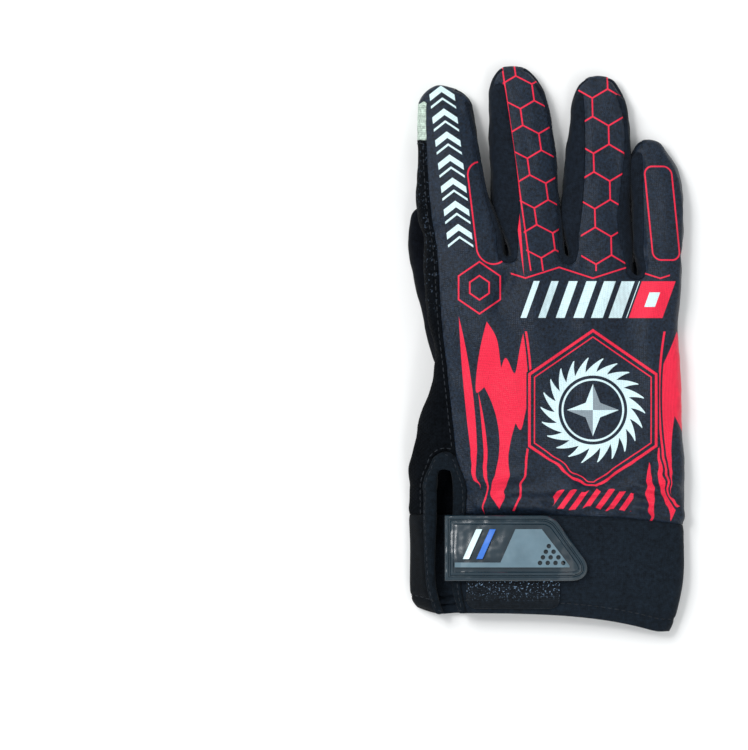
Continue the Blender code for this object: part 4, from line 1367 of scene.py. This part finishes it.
def cloth_material(weave, colour):
    """Plain cloth: a knitted or ribbed surface, slightly cloudy, with a fine nap."""
    material, tree, shader, place = new_material(weave.name)
    x, y, z = axes(tree, place)
    pitch = weave.pitch * MM
    surface = (y * (2 * math.pi / pitch)).sine() if weave.ribbed else knit(x, y, z, pitch)
    nap = noise(tree, place, CLOTH_NAP, 3.0, 0.65)
    mottle = noise(tree, place, CLOTH_MOTTLE, 3.0, 0.7)
    clouds = noise(tree, place, CLOTH_CLOUDS)
    tone = (surface * 0.12 + clouds * 0.5 + nap * 0.3 + mottle * 2.4 - 0.6).most(DARKEST)
    relief = surface * 0.5 + nap * 0.8
    if weave.speck:
        length, bright, start = weave.speck
        dots = (noise(tree, place, length * MM, 2.0, 0.6) - SPECK_LEVEL).ramp(SPECK_EDGE)
        dots = dots * (y - start * MM).ramp(SPECK_FADE)
        tone = tone + dots * bright
        relief = relief + dots
    # Painted shade: the cloth darkens toward the end at the given x.
    if weave.dim:
        end, reach, dark = weave.dim
        tone = tone * ((x - end * MM).ramp(reach * MM) * (1.0 - dark) + dark)
    tree.links.new(tinted(tree, colour, tone), shader.inputs["Base Color"])
    set_shader(shader, Roughness=weave.roughness, Sheen_Weight=weave.sheen, Sheen_Roughness=SOFT_SHEEN,
               Specular_IOR_Level=weave.shine)
    add_bump(tree, shader, relief, weave.depth * MM, 0.8)
    return material


def plastic_material(moulding, colour):
    """Soft moulded plastic: its gloss is cloudy, and its surface has long low swells."""
    material, tree, shader, place = new_material(moulding.name)
    clouds = noise(tree, place, GLOSS_CLOUDS, 3.0)
    tree.links.new(tinted(tree, colour, clouds * 0.50 + 0.75), shader.inputs["Base Color"])
    gloss = clouds * 0.20 + (moulding.roughness - 0.10)
    tree.links.new(gloss.socket, shader.inputs["Roughness"])
    set_shader(shader, Coat_Weight=0.4, Coat_Roughness=0.12)
    add_bump(tree, shader, noise(tree, place, GLOSS_SWELLS, 1.0), moulding.swell * MM, 1.0)
    return material


@functools.cache
def glove_material(name):
    look = bpy.context.scene.glove_look
    if name in WEAVES:
        return cloth_material(WEAVES[name], getattr(look, name))
    if name in MOULDINGS:
        return plastic_material(MOULDINGS[name], getattr(look, name))
    return printed_material(look)


def finish_piece(piece, node, cloth):
    piece.data.materials.clear()
    piece.data.materials.append(glove_material(cloth))
    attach(piece, "root")
    if node:
        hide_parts(node)


def sew(name):
    """Makes one panel of the skin from its cut."""
    cut = CUTS[name]
    piece = cloth_panel(name, getattr(bpy.context.scene.glove_size, cut.wall))
    finish_piece(piece, name, cut.cloth)


def iso_paths(panel, field, value):
    """Lines on a panel along which a field has a value, as lists of points with their normals."""
    cloth = glove_cloth()
    quads = cloth.quads[cloth.mask(panel)]
    above = (field[quads] > value).sum(axis=1)
    links = {}
    spots = {}
    for quad in quads[(above > 0) & (above < 4)].tolist():
        cut = []
        for k in range(4):
            a, b = sorted((quad[k], quad[(k + 1) % 4]))
            if (field[a] > value) != (field[b] > value):
                share = (value - field[a]) / (field[b] - field[a])
                spots[(a, b)] = [mix(rows[a], rows[b], share) for rows in (cloth.points, cloth.normals)]
                cut.append((a, b))
        if len(cut) == 2:
            links.setdefault(cut[0], []).append(cut[1])
            links.setdefault(cut[1], []).append(cut[0])
    paths = []
    left = set(links)
    while left:
        ends = sorted(key for key in left if len(links[key]) == 1)
        spot = ends[0] if ends else min(left)
        path = []
        while spot is not None:
            left.discard(spot)
            path.append(spots[spot])
            spot = next((key for key in links[spot] if key in left), None)
        paths.append(path)
    return paths


def along_path(path, spacing):
    """Evenly spaced places on a path: point, direction and normal."""
    points, normals = np.array(path).transpose(1, 0, 2)
    steps = np.linalg.norm(np.diff(points, axis=0), axis=1)
    length = np.concatenate([[0.0], np.cumsum(steps)])
    marks = np.arange(spacing / 2, length[-1], spacing)

    def at(places, rows):
        return np.stack([np.interp(places, length, rows[:, k]) for k in range(3)], axis=1)

    ahead = at(marks + spacing / 4, points) - at(marks - spacing / 4, points)
    return at(marks, points), unit(ahead), unit(at(marks, normals))


def stitch_shape():
    """One stitch along X: a small bead with round ends, as points and faces."""
    deselect_all()
    bpy.ops.mesh.primitive_uv_sphere_add(segments=8, ring_count=5, radius=0.5)
    bead = bpy.context.object
    bead.data.transform(Matrix.Rotation(math.pi / 2, 4, "Y"))
    points = np.array([tuple(v.co) for v in bead.data.vertices])
    faces = [tuple(p.vertices) for p in bead.data.polygons]
    bpy.data.objects.remove(bead, do_unlink=True)
    return points, faces


def stitch_rows(rows, length, width):
    """Stitches along rows of paths, as one mesh's points and faces. A row also says how far above the skin
    its stitches lie."""
    shape, faces = stitch_shape()
    scaled = shape * np.array((length, width, width * STITCH_FLATNESS))
    all_points = []
    all_faces = []
    for path, rise in [(path, rise) for paths, rise in rows for path in paths if len(path) >= SHORTEST_PATH]:
        for place, ahead, up in zip(*along_path(path, length * STITCH_SPACING)):
            base = len(all_points) * len(shape)
            turned = scaled @ np.stack([ahead, np.cross(up, ahead), up])
            all_points.append(turned + place + up * (width * STITCH_RISE + rise))
            all_faces += [[base + i for i in face] for face in faces]
    return np.concatenate(all_points).tolist(), all_faces


def deselect_all():
    if bpy.context.mode != "OBJECT":
        bpy.ops.object.mode_set(mode="OBJECT")
    bpy.ops.object.select_all(action="DESELECT")


def start_sheet(name, width, height, x, y):
    """A flat rectangle with its lower left corner at a place, open in edit mode."""
    deselect_all()
    bpy.ops.mesh.primitive_plane_add(size=1.0, location=(x + width / 2, y + height / 2, 0.0))
    piece = bpy.context.object
    piece.name = name
    piece.data.name = name
    piece.scale = (width, height, 1.0)
    bpy.ops.object.transform_apply(location=True, rotation=True, scale=True)
    bpy.ops.object.mode_set(mode="EDIT")
    bpy.ops.mesh.select_all(action="SELECT")
    return piece


def cut_across(x, y, normal, clear=False):
    """Cuts the sheet along a line through a place, and may clear what lies on the normal's side."""
    bpy.ops.mesh.select_all(action="SELECT")
    bpy.ops.mesh.bisect(plane_co=(x, y, 0.0), plane_no=(*normal, 0.0), clear_outer=clear)


def round_corner(piece, near, radius, segments=6):
    """Rounds the outline's corner that lies nearest to a place."""
    bpy.ops.mesh.select_all(action="DESELECT")
    bpy.ops.object.mode_set(mode="OBJECT")
    corner = min(piece.data.vertices, key=lambda v: (v.co.x - near[0]) ** 2 + (v.co.y - near[1]) ** 2)
    corner.select = True
    bpy.ops.object.mode_set(mode="EDIT")
    bpy.ops.mesh.select_mode(type="VERT")
    bpy.ops.mesh.bevel(offset=radius, segments=segments, affect="VERTICES")
    bpy.ops.mesh.select_mode(type="FACE")
    bpy.ops.mesh.select_all(action="SELECT")


def cut_lines(piece, spacing):
    """Cuts across the sheet, so that it can follow the cuff."""
    bpy.ops.object.mode_set(mode="OBJECT")
    spots = np.array([v.co.xy for v in piece.data.vertices])
    bpy.ops.object.mode_set(mode="EDIT")
    for low, high, normal in zip(spots.min(axis=0).tolist(), spots.max(axis=0).tolist(), ((1, 0), (0, 1))):
        count = int((high - low) / spacing)
        for k in range(1, count + 1):
            place = low + (high - low) * k / (count + 1)
            cut_across(place * normal[0], place * normal[1], normal)
    bpy.ops.object.mode_set(mode="OBJECT")


def apply_modifiers(piece):
    bpy.context.view_layer.objects.active = piece
    for modifier in list(piece.modifiers):
        bpy.ops.object.modifier_apply(modifier=modifier.name)


def thicken(piece, thickness, bevel):
    wall = piece.modifiers.new("wall", "SOLIDIFY")
    wall.thickness = thickness
    wall.offset = -1.0
    if bevel:
        edge = piece.modifiers.new("edge", "BEVEL")
        edge.width = bevel
        edge.segments = 2
        edge.limit_method = "ANGLE"
        edge.angle_limit = SHARP_EDGE
    apply_modifiers(piece)


def clear_faces(piece, unwanted):
    """Deletes the sheet's faces whose middle is at an unwanted place."""
    bpy.ops.object.mode_set(mode="OBJECT")
    for polygon in piece.data.polygons:
        polygon.select = bool(unwanted(polygon.center.x, polygon.center.y))
    bpy.ops.object.mode_set(mode="EDIT")
    bpy.ops.mesh.delete(type="FACE")
    bpy.ops.object.mode_set(mode="OBJECT")


def pierce(piece, places):
    """Round holes through a flat piece."""
    for place in places:
        deselect_all()
        bpy.ops.mesh.primitive_cylinder_add(
            vertices=20, radius=HOLE_DIAMETER / 2, depth=CUTTER_DEPTH, location=place)
        cutter = bpy.context.object
        cut = piece.modifiers.new("hole", "BOOLEAN")
        cut.operation = "DIFFERENCE"
        cut.solver = "EXACT"
        cut.object = cutter
        apply_modifiers(piece)
        bpy.data.objects.remove(cutter, do_unlink=True)


# Ridges round the tab, in millimetres. width: how far the step's inner edge lies inside its outer one.
# rise: the height that it gains.
Ridge = namedtuple("Ridge", "width rise")
TAB_RIDGES = (
    Ridge(0.45, 0.36),
    Ridge(0.95, 0.00),
    Ridge(0.30, -0.55),
    Ridge(0.40, 0.00),
    Ridge(0.35, 0.66),
    Ridge(0.95, 0.05),
    Ridge(0.40, -0.62),
    Ridge(0.20, 0.00),
)

# Cuts that let a sheet follow the cuff, the edges that a bevel takes, and where rays toward the cuff start
CUT_SPACING = 2.6 * MM
SHARP_EDGE = math.radians(35)
RAY_START = 0.2

# The loop patch: how far down the cuff, its cuts and corners, and its backing's share of its thickness
PATCH_LOW_SHARE = 0.95
PATCH_CUT_SPACING = 2.0 * MM
PATCH_CORNER = 4.0 * MM
PATCH_BEVEL = 0.2 * MM
BACKING_SHARE = 0.6

# The tab: how far down the cuff, how far its nose reaches past the sharp outline, where its top edge ends,
# its corners, its shares of the thickness, and how it comes down from the loop patch.
TAB_LOW_SHARE = 0.665
TAB_NOSE = 6.2 * MM
TAB_NOSE_SEGMENTS = 14
TAB_TOP_SHARE = 0.77
TAB_CORNER = 4.0 * MM
TAB_CORNER_SEGMENTS = 8
TAB_WALL_SHARE = 0.7
TAB_RISE_SHARE = 0.85
TAB_BEVEL = 0.08 * MM
TAB_FALL_START = 1 * MM
TAB_FALL = 4 * MM

# The plate, in shares of the tab's length, of its own length and of its own width
PLATE_START_SHARE = 0.38
PLATE_TAIL_SHARE = 0.31
PLATE_TAIL_WIDTH = 2.0 * MM
PLATE_TOP_SHARE = 0.60
PLATE_NOSE_SHARE = 0.84
PLATE_TIP = 0.5 * MM

# The plate's holes: a triangle of rows, each a share of the spacing above the last and further along
HOLE_ROWS = 4
HOLE_SPACING = 3.2 * MM
HOLE_DIAMETER = 1.9 * MM
HOLES_START_SHARE = 0.575
HOLES_FOOT = 0.58
HOLE_ROW_STEP = 0.72
HOLE_ROW_SHIFT = 0.38
CUTTER_DEPTH = 8 * MM

# The bars at the plate's left, which lean with its end
BAR_START_SHARE = 0.10
BAR_SLANT = 0.45
BAR_WIDTH = 2.6 * MM
BAR_STEP = 5.6 * MM
BAR_FOOT = 1.4 * MM
BAR_BEVEL = 0.25 * MM


class Closure:
    """Where the closure's pieces lie on the cuff, from the slit's middle line."""

    def __init__(self, size):
        cloth = glove_cloth()
        self.tree = BVHTree.FromPolygons(cloth.points.tolist(), cloth.quads.tolist())
        row = HAND_ROWS[CUFF_ROW + 1]
        slit_x = size.hand[0] * mix(row.left, row.right, slit_middle(row)) - cloth.shift[0]
        self.foot = 2 * size.rest_gap
        self.tab_left = slit_x - size.slit_width / 2 + size.tab_inset
        self.tab_low = -size.hand[1] - TAB_LOW_SHARE * size.cuff[1] - cloth.shift[1]
        self.patch_left = slit_x + size.slit_width / 2 + size.binding_width + 2 * self.foot
        self.patch_low = -size.hand[1] - PATCH_LOW_SHARE * size.cuff[1] - cloth.shift[1]
        self.patch_right = self.patch_left + size.patch[0]
        self.over_patch = self.foot + size.patch[2]
        self.badge_rise = size.tab[2] + size.rest_gap + size.plate[2]

    def tab_rise(self, x):
        """How far the tab lies above the cuff, which is more where it lies over the loop patch."""
        fall = smooth((x - self.patch_right - TAB_FALL_START) / TAB_FALL)
        return self.foot + self.over_patch * (1 - fall)

    def lay(self, piece, rise, on_tab=True):
        """Moves each point up by the cuff's height under it, the place of the tab or the loop patch above
        that, and a rise. on_tab: whether it is the tab, or a piece on the tab."""
        for vertex in piece.data.vertices:
            x, y = vertex.co.xy
            hit = self.tree.ray_cast(Vector((x, y, RAY_START)), Vector((0, 0, -1)))[0]
            vertex.co.z += hit.z + rise + (self.tab_rise(x) if on_tab else self.foot)


def size_property(name, description, *sizes):
    """One length in millimetres, or three."""
    shown = {"name": name, "description": description, "unit": "LENGTH"}
    if len(sizes) == 1:
        return FloatProperty(default=sizes[0] * MM, **shown)
    return FloatVectorProperty(size=3, default=[size * MM for size in sizes], **shown)


class GloveSize(PropertyGroup):
    """Sizes of the glove"""

    hand: size_property("Hand", "Width, length and height of the hand part", 114.0, 103.7, 16.5)
    cuff: size_property("Cuff", "Width, length and height of the cuff", 114.0, 41.0, 16.0)
    index: size_property("Index finger", "Width, length and height of the index finger", 27.0, 74.0, 14.0)
    middle: size_property("Middle finger", "Width, length and height of the middle finger", 26.1, 82.4, 14.5)
    ring: size_property("Ring finger", "Width, length and height of the ring finger", 25.7, 78.3, 14.0)
    pinky: size_property("Little finger", "Width, length and height of the little finger", 21.6, 59.3, 13.0)
    thumb: size_property("Thumb", "Width, length and height of the thumb", 25.0, 48.0, 10.0)
    tab: size_property("Tab", "Length, width and thickness of the closure tab", 58.0, 27.0, 2.0)
    plate: size_property("Plate", "Length, width and thickness of the plate on the tab", 30.0, 15.8, 0.9)
    patch: size_property("Loop patch", "Length, width and thickness of the loop patch", 38.5, 35.0, 1.2)
    tab_inset: size_property("Tab inset", "From the slit's left edge to the tab's", 4.0)
    slit_width: size_property("Slit width", "Width of the slit's opening", 6.4)
    binding_width: size_property("Binding width", "Width of the tape round the slit", 5.4)
    cloth_wall: size_property("Cloth", "Thickness of the back and the fourchettes", 1.2)
    palm_wall: size_property("Palm", "Thickness of the palm", 1.5)
    cuff_wall: size_property("Neoprene", "Thickness of the cuff", 2.6)
    seam_gap: size_property("Seam gap", "Gap between two panels at a seam", 0.12)
    rest_gap: size_property("Rest gap", "Gap between pieces that lie on each other", 0.3)
    stitch_length: size_property("Stitch length", "Length of one stitch", 2.1)
    stitch_width: size_property("Stitch width", "Thickness of the thread", 0.45)
    hem_width: size_property("Hem width", "From the cuff's edge to its stitches", 5.5)


def colour_property(name, description, *default):
    return FloatVectorProperty(
        name=name, description=description, size=3, default=default, min=0.0, max=1.0, subtype="COLOR")


class GloveLook(PropertyGroup):
    """Colours of the glove's materials"""

    ground: colour_property("Ground", "Ground of the printed back", 0.0062, 0.0132, 0.0262)
    red: colour_property("Red", "Red ink of the print", 0.77, 0.017, 0.056)
    white: colour_property("White", "White ink and the white bar", 0.62, 0.80, 0.84)
    steel: colour_property("Steel", "Shaded half of the print's star", 0.22, 0.27, 0.31)
    blue: colour_property("Blue", "Blue bar on the tab", 0.006, 0.13, 0.56)
    palm: colour_property("Palm", "Palm fabric", 0.0022, 0.0031, 0.0045)
    stretch: colour_property("Stretch", "Fourchettes", 0.0055, 0.0092, 0.0158)
    thumb: colour_property("Thumb", "Thumb", 0.0030, 0.0040, 0.0066)
    tape: colour_property("Tape", "Tape round the slit", 0.0040, 0.0072, 0.0112)
    touch: colour_property("Touch patch", "Conductive knit of the fingertip", 0.43, 0.53, 0.46)
    cuff: colour_property("Cuff", "Neoprene cuff", 0.0058, 0.0102, 0.0164)
    loops: colour_property("Loops", "Pile of the loop patch", 0.0066, 0.0102, 0.0150)
    thread: colour_property("Thread", "Stitching", 0.018, 0.022, 0.028)
    tab: colour_property("Tab", "Closure tab", 0.0068, 0.0215, 0.0335)
    plate: colour_property("Plate", "Plate on the tab", 0.095, 0.165, 0.210)
    floor: colour_property("Floor", "Floor that the glove lies on", 0.86, 0.86, 0.86)


class GLOVE_OT_back(Operator):
    """Builds the printed back of the hand and fingers"""

    bl_idname = "glove.back"
    bl_label = "Back Panel"

    def execute(self, context):
        sew("back_panel")
        return {"FINISHED"}


class GLOVE_OT_palm(Operator):
    """Builds the palm, the thumb and the touch patch"""

    bl_idname = "glove.palm"
    bl_label = "Palm, Thumb and Touch Patch"

    def execute(self, context):
        for name in ("palm_panel", "thumb", "touch_patch"):
            sew(name)
        return {"FINISHED"}


class GLOVE_OT_fourchettes(Operator):
    """Builds the stretch strips between the fingers"""

    bl_idname = "glove.fourchettes"
    bl_label = "Fourchettes"

    def execute(self, context):
        for name in ("fourchette_index_middle", "fourchette_middle_ring", "fourchette_ring_pinky"):
            sew(name)
        return {"FINISHED"}


class GLOVE_OT_cuff(Operator):
    """Builds the neoprene cuff and the tape round its slit"""

    bl_idname = "glove.cuff"
    bl_label = "Cuff and Binding"

    def execute(self, context):
        for name in ("cuff", "slit_binding"):
            sew(name)
        return {"FINISHED"}


class GLOVE_OT_stitches(Operator):
    """Sews the hem, the binding and the palm's edge"""

    bl_idname = "glove.stitches"
    bl_label = "Stitches"

    def execute(self, context):
        size = context.scene.glove_size
        cloth = glove_cloth()
        tape_edge = distance_to(cloth.points, outer_edges(cloth, "slit_binding", "open"))
        palm_edge = distance_to(cloth.points, outer_edges(cloth, "palm_panel", "cuff"))
        tape_rise = tape_dome(TAPE_STITCH_INSET) - TAPE_DIP
        rows = [
            (iso_paths("cuff", cloth.hem, size.hem_width), 0.0),
            (iso_paths("slit_binding", tape_edge, TAPE_STITCH_INSET), tape_rise),
            (iso_paths("palm_panel", palm_edge, PALM_STITCH_INSET), 0.0),
        ]
        piece = new_mesh_object("stitches", *stitch_rows(rows, size.stitch_length, size.stitch_width))
        finish_piece(piece, None, "thread")
        return {"FINISHED"}


class GLOVE_OT_loop_patch(Operator):
    """Builds the loop half of the closure, with its pile"""

    bl_idname = "glove.loop_patch"
    bl_label = "Loop Patch"

    def execute(self, context):
        size = context.scene.glove_size
        closure = Closure(size)
        length, width, thickness = size.patch
        piece = start_sheet("loop_patch", length, width, closure.patch_left, closure.patch_low)
        for x in (closure.patch_left, closure.patch_right):
            for y in (closure.patch_low, closure.patch_low + width):
                round_corner(piece, (x, y), PATCH_CORNER)
        cut_lines(piece, PATCH_CUT_SPACING)
        thicken(piece, BACKING_SHARE * thickness, PATCH_BEVEL)
        closure.lay(piece, BACKING_SHARE * thickness, on_tab=False)
        finish_piece(piece, "loop_patch", "loops")
        return {"FINISHED"}


class GLOVE_OT_tab(Operator):
    """Moulds the closure tab with its ridged border"""

    bl_idname = "glove.tab"
    bl_label = "Closure Tab"

    def execute(self, context):
        size = context.scene.glove_size
        closure = Closure(size)
        length, width, thickness = size.tab
        left, low = closure.tab_left, closure.tab_low
        right = left + length + TAB_NOSE
        top_end = left + length * TAB_TOP_SHARE
        piece = start_sheet("strap_tab", right - left, width, left, low)
        cut_across(right, low, (width, right - top_end), clear=True)
        round_corner(piece, (right, low), 2 * TAB_NOSE, TAB_NOSE_SEGMENTS)
        round_corner(piece, (top_end, low + width), TAB_CORNER, TAB_CORNER_SEGMENTS)
        for ridge in TAB_RIDGES:
            bpy.ops.mesh.inset(thickness=ridge.width * MM, depth=ridge.rise * MM, use_even_offset=True)
        cut_lines(piece, CUT_SPACING)
        thicken(piece, TAB_WALL_SHARE * thickness, TAB_BEVEL)
        closure.lay(piece, TAB_RISE_SHARE * thickness)
        piece.data.shade_smooth()
        finish_piece(piece, "strap_tab", "tab")
        return {"FINISHED"}


def plate_holes(left, low, length):
    """Places of the plate's holes, row by row."""
    places = []
    for row in range(HOLE_ROWS):
        for column in range(HOLE_ROWS - row):
            x = left + length * HOLES_START_SHARE + HOLE_SPACING * (column + HOLE_ROW_SHIFT * row)
            places.append((x, low + HOLE_SPACING * (HOLES_FOOT + HOLE_ROW_STEP * row), 0.0))
    return places


class GLOVE_OT_badge(Operator):
    """Moulds the plate with its holes and the two bars on the tab"""

    bl_idname = "glove.badge"
    bl_label = "Plate and Bars"

    def execute(self, context):
        size = context.scene.glove_size
        closure = Closure(size)
        length, width, thickness = size.plate
        left = closure.tab_left + PLATE_START_SHARE * size.tab[0]
        low = closure.tab_low + (size.tab[1] - width) / 2
        tail = PLATE_TAIL_SHARE * size.tab[0]
        tail_top = low + PLATE_TAIL_WIDTH
        plate = start_sheet("strap_plate", length + tail, width, left - tail, low)
        slope = (width * PLATE_NOSE_SHARE, length * (1 - PLATE_TOP_SHARE))
        cut_across(left + length * PLATE_TOP_SHARE, low + width, slope, clear=True)
        cut_across(left + length - PLATE_TIP, low, (1.0, 0.0), clear=True)
        cut_across(left, tail_top, (0.0, 1.0))
        cut_across(left, low, (1.0, -BAR_SLANT))
        clear_faces(plate, lambda x, y: y > tail_top and x < left + BAR_SLANT * (y - low))
        thicken(plate, thickness, 0.0)
        pierce(plate, plate_holes(left, low, length))
        cut_lines(plate, CUT_SPACING)
        closure.lay(plate, closure.badge_rise)
        finish_piece(plate, "strap_plate", "plate")
        foot = tail_top + BAR_FOOT
        start = closure.tab_left + BAR_START_SHARE * size.tab[0]
        for name, step, slot, look in (
            ("strap_bar_white", 0.0, "white_plastic", "white"),
            ("strap_bar_blue", BAR_STEP, "blue_plastic", "blue"),
        ):
            bar = start_sheet(name, BAR_WIDTH, low + width - foot, start + step, foot)
            cut_lines(bar, CUT_SPACING)
            thicken(bar, thickness, BAR_BEVEL)
            for vertex in bar.data.vertices:
                vertex.co.x += BAR_SLANT * (vertex.co.y - low)
            closure.lay(bar, closure.badge_rise)
            finish_piece(bar, name, look)
        return {"FINISHED"}


# The photograph: its width in pixels, what one pixel shows, and the place and height of its middle
PHOTO_WIDTH_PX = 748
PIXEL = 0.4145 * MM
VIEW_X = -71.5 * MM
VIEW_Y = -11.0 * MM
VIEW_Z = 8 * MM
LENS = 500.0
SENSOR = 36.0

# Square lamps that face the glove, and the even light of the room
Lamp = namedtuple("Lamp", "name place power width")
LAMPS = (
    Lamp("key_light", (-0.75, 0.65, 1.30), 15.0, 0.80),
    Lamp("glint_light", (-0.50, 0.30, 1.30), 3.2, 0.20),
    Lamp("low_light", (0.12, -0.80, 0.62), 1.4, 0.14),
    Lamp("fill_light", (0.90, -0.50, 1.40), 5.0, 1.40),
)
ROOM_COLOUR = (0.95, 0.985, 1.0, 1.0)
ROOM_STRENGTH = 0.62
FLOOR_WIDTH = 4.0


def light_room(scene):
    for lamp in LAMPS:
        light = bpy.data.lights.new(lamp.name, "AREA")
        light.energy = lamp.power
        light.size = lamp.width
        holder = bpy.data.objects.new(lamp.name, light)
        holder.location = lamp.place
        holder.rotation_euler = (-Vector(lamp.place)).to_track_quat("-Z", "Y").to_euler()
        scene.collection.objects.link(holder)
    scene.world = bpy.data.worlds.new("studio")
    scene.world.use_nodes = True
    background = scene.world.node_tree.nodes["Background"]
    background.inputs["Color"].default_value = ROOM_COLOUR
    background.inputs["Strength"].default_value = ROOM_STRENGTH
    scene.view_settings.view_transform = "Standard"


def place_camera(scene):
    """Looks straight down from so far that the view is as good as flat, on what the photograph shows."""
    camera = bpy.data.cameras.new("camera")
    camera.lens = LENS
    camera.sensor_width = SENSOR
    camera.sensor_fit = "HORIZONTAL"
    holder = bpy.data.objects.new("camera", camera)
    holder.location = (VIEW_X, VIEW_Y, VIEW_Z + PHOTO_WIDTH_PX * PIXEL * LENS / SENSOR)
    scene.collection.objects.link(holder)
    scene.camera = holder


class GLOVE_OT_stage(Operator):
    """Sets the floor, the soft lights and the camera above the glove"""

    bl_idname = "glove.stage"
    bl_label = "Stage"

    def execute(self, context):
        scene = context.scene
        deselect_all()
        bpy.ops.mesh.primitive_plane_add(size=FLOOR_WIDTH, location=(0, 0, 0))
        floor = context.object
        floor.name = "floor"
        material, tree, shader, place = new_material("floor_paper")
        tone = noise(tree, place, FLOOR_CLOUDS) * 0.04 + 0.98
        tree.links.new(tinted(tree, scene.glove_look.floor, tone), shader.inputs["Base Color"])
        set_shader(shader, Roughness=0.9)
        floor.data.materials.append(material)
        light_room(scene)
        place_camera(scene)
        return {"FINISHED"}


class GLOVE_PT_panel(Panel):
    """Lists the glove's sizes, colours and pieces"""

    bl_idname = "GLOVE_PT_panel"
    bl_label = "Cycling Glove"
    bl_space_type = "VIEW_3D"
    bl_region_type = "UI"
    bl_category = "Glove"

    def draw(self, context):
        for group in (context.scene.glove_size, context.scene.glove_look):
            box = self.layout.box()
            for name in group.bl_rna.properties.keys():
                if name not in ("rna_type", "name"):
                    box.prop(group, name)
        for operator in OPERATORS:
            self.layout.operator(operator.bl_idname)


OPERATORS = (
    GLOVE_OT_stage, GLOVE_OT_back, GLOVE_OT_palm, GLOVE_OT_fourchettes, GLOVE_OT_cuff,
    GLOVE_OT_stitches, GLOVE_OT_loop_patch, GLOVE_OT_tab, GLOVE_OT_badge,
)
CLASSES = (GloveSize, GloveLook, *OPERATORS, GLOVE_PT_panel)


def register():
    for cls in CLASSES:
        bpy.utils.register_class(cls)
    bpy.types.Scene.glove_size = PointerProperty(type=GloveSize)
    bpy.types.Scene.glove_look = PointerProperty(type=GloveLook)


def unregister():
    del bpy.types.Scene.glove_look
    del bpy.types.Scene.glove_size
    for cls in reversed(CLASSES):
        bpy.utils.unregister_class(cls)


def main():
    register()
    bpy.ops.glove.stage()
    bpy.ops.glove.back()
    bpy.ops.glove.palm()
    bpy.ops.glove.fourchettes()
    bpy.ops.glove.cuff()
    bpy.ops.glove.stitches()
    bpy.ops.glove.loop_patch()
    bpy.ops.glove.tab()
    bpy.ops.glove.badge()


if __name__ == "__main__":
    main()
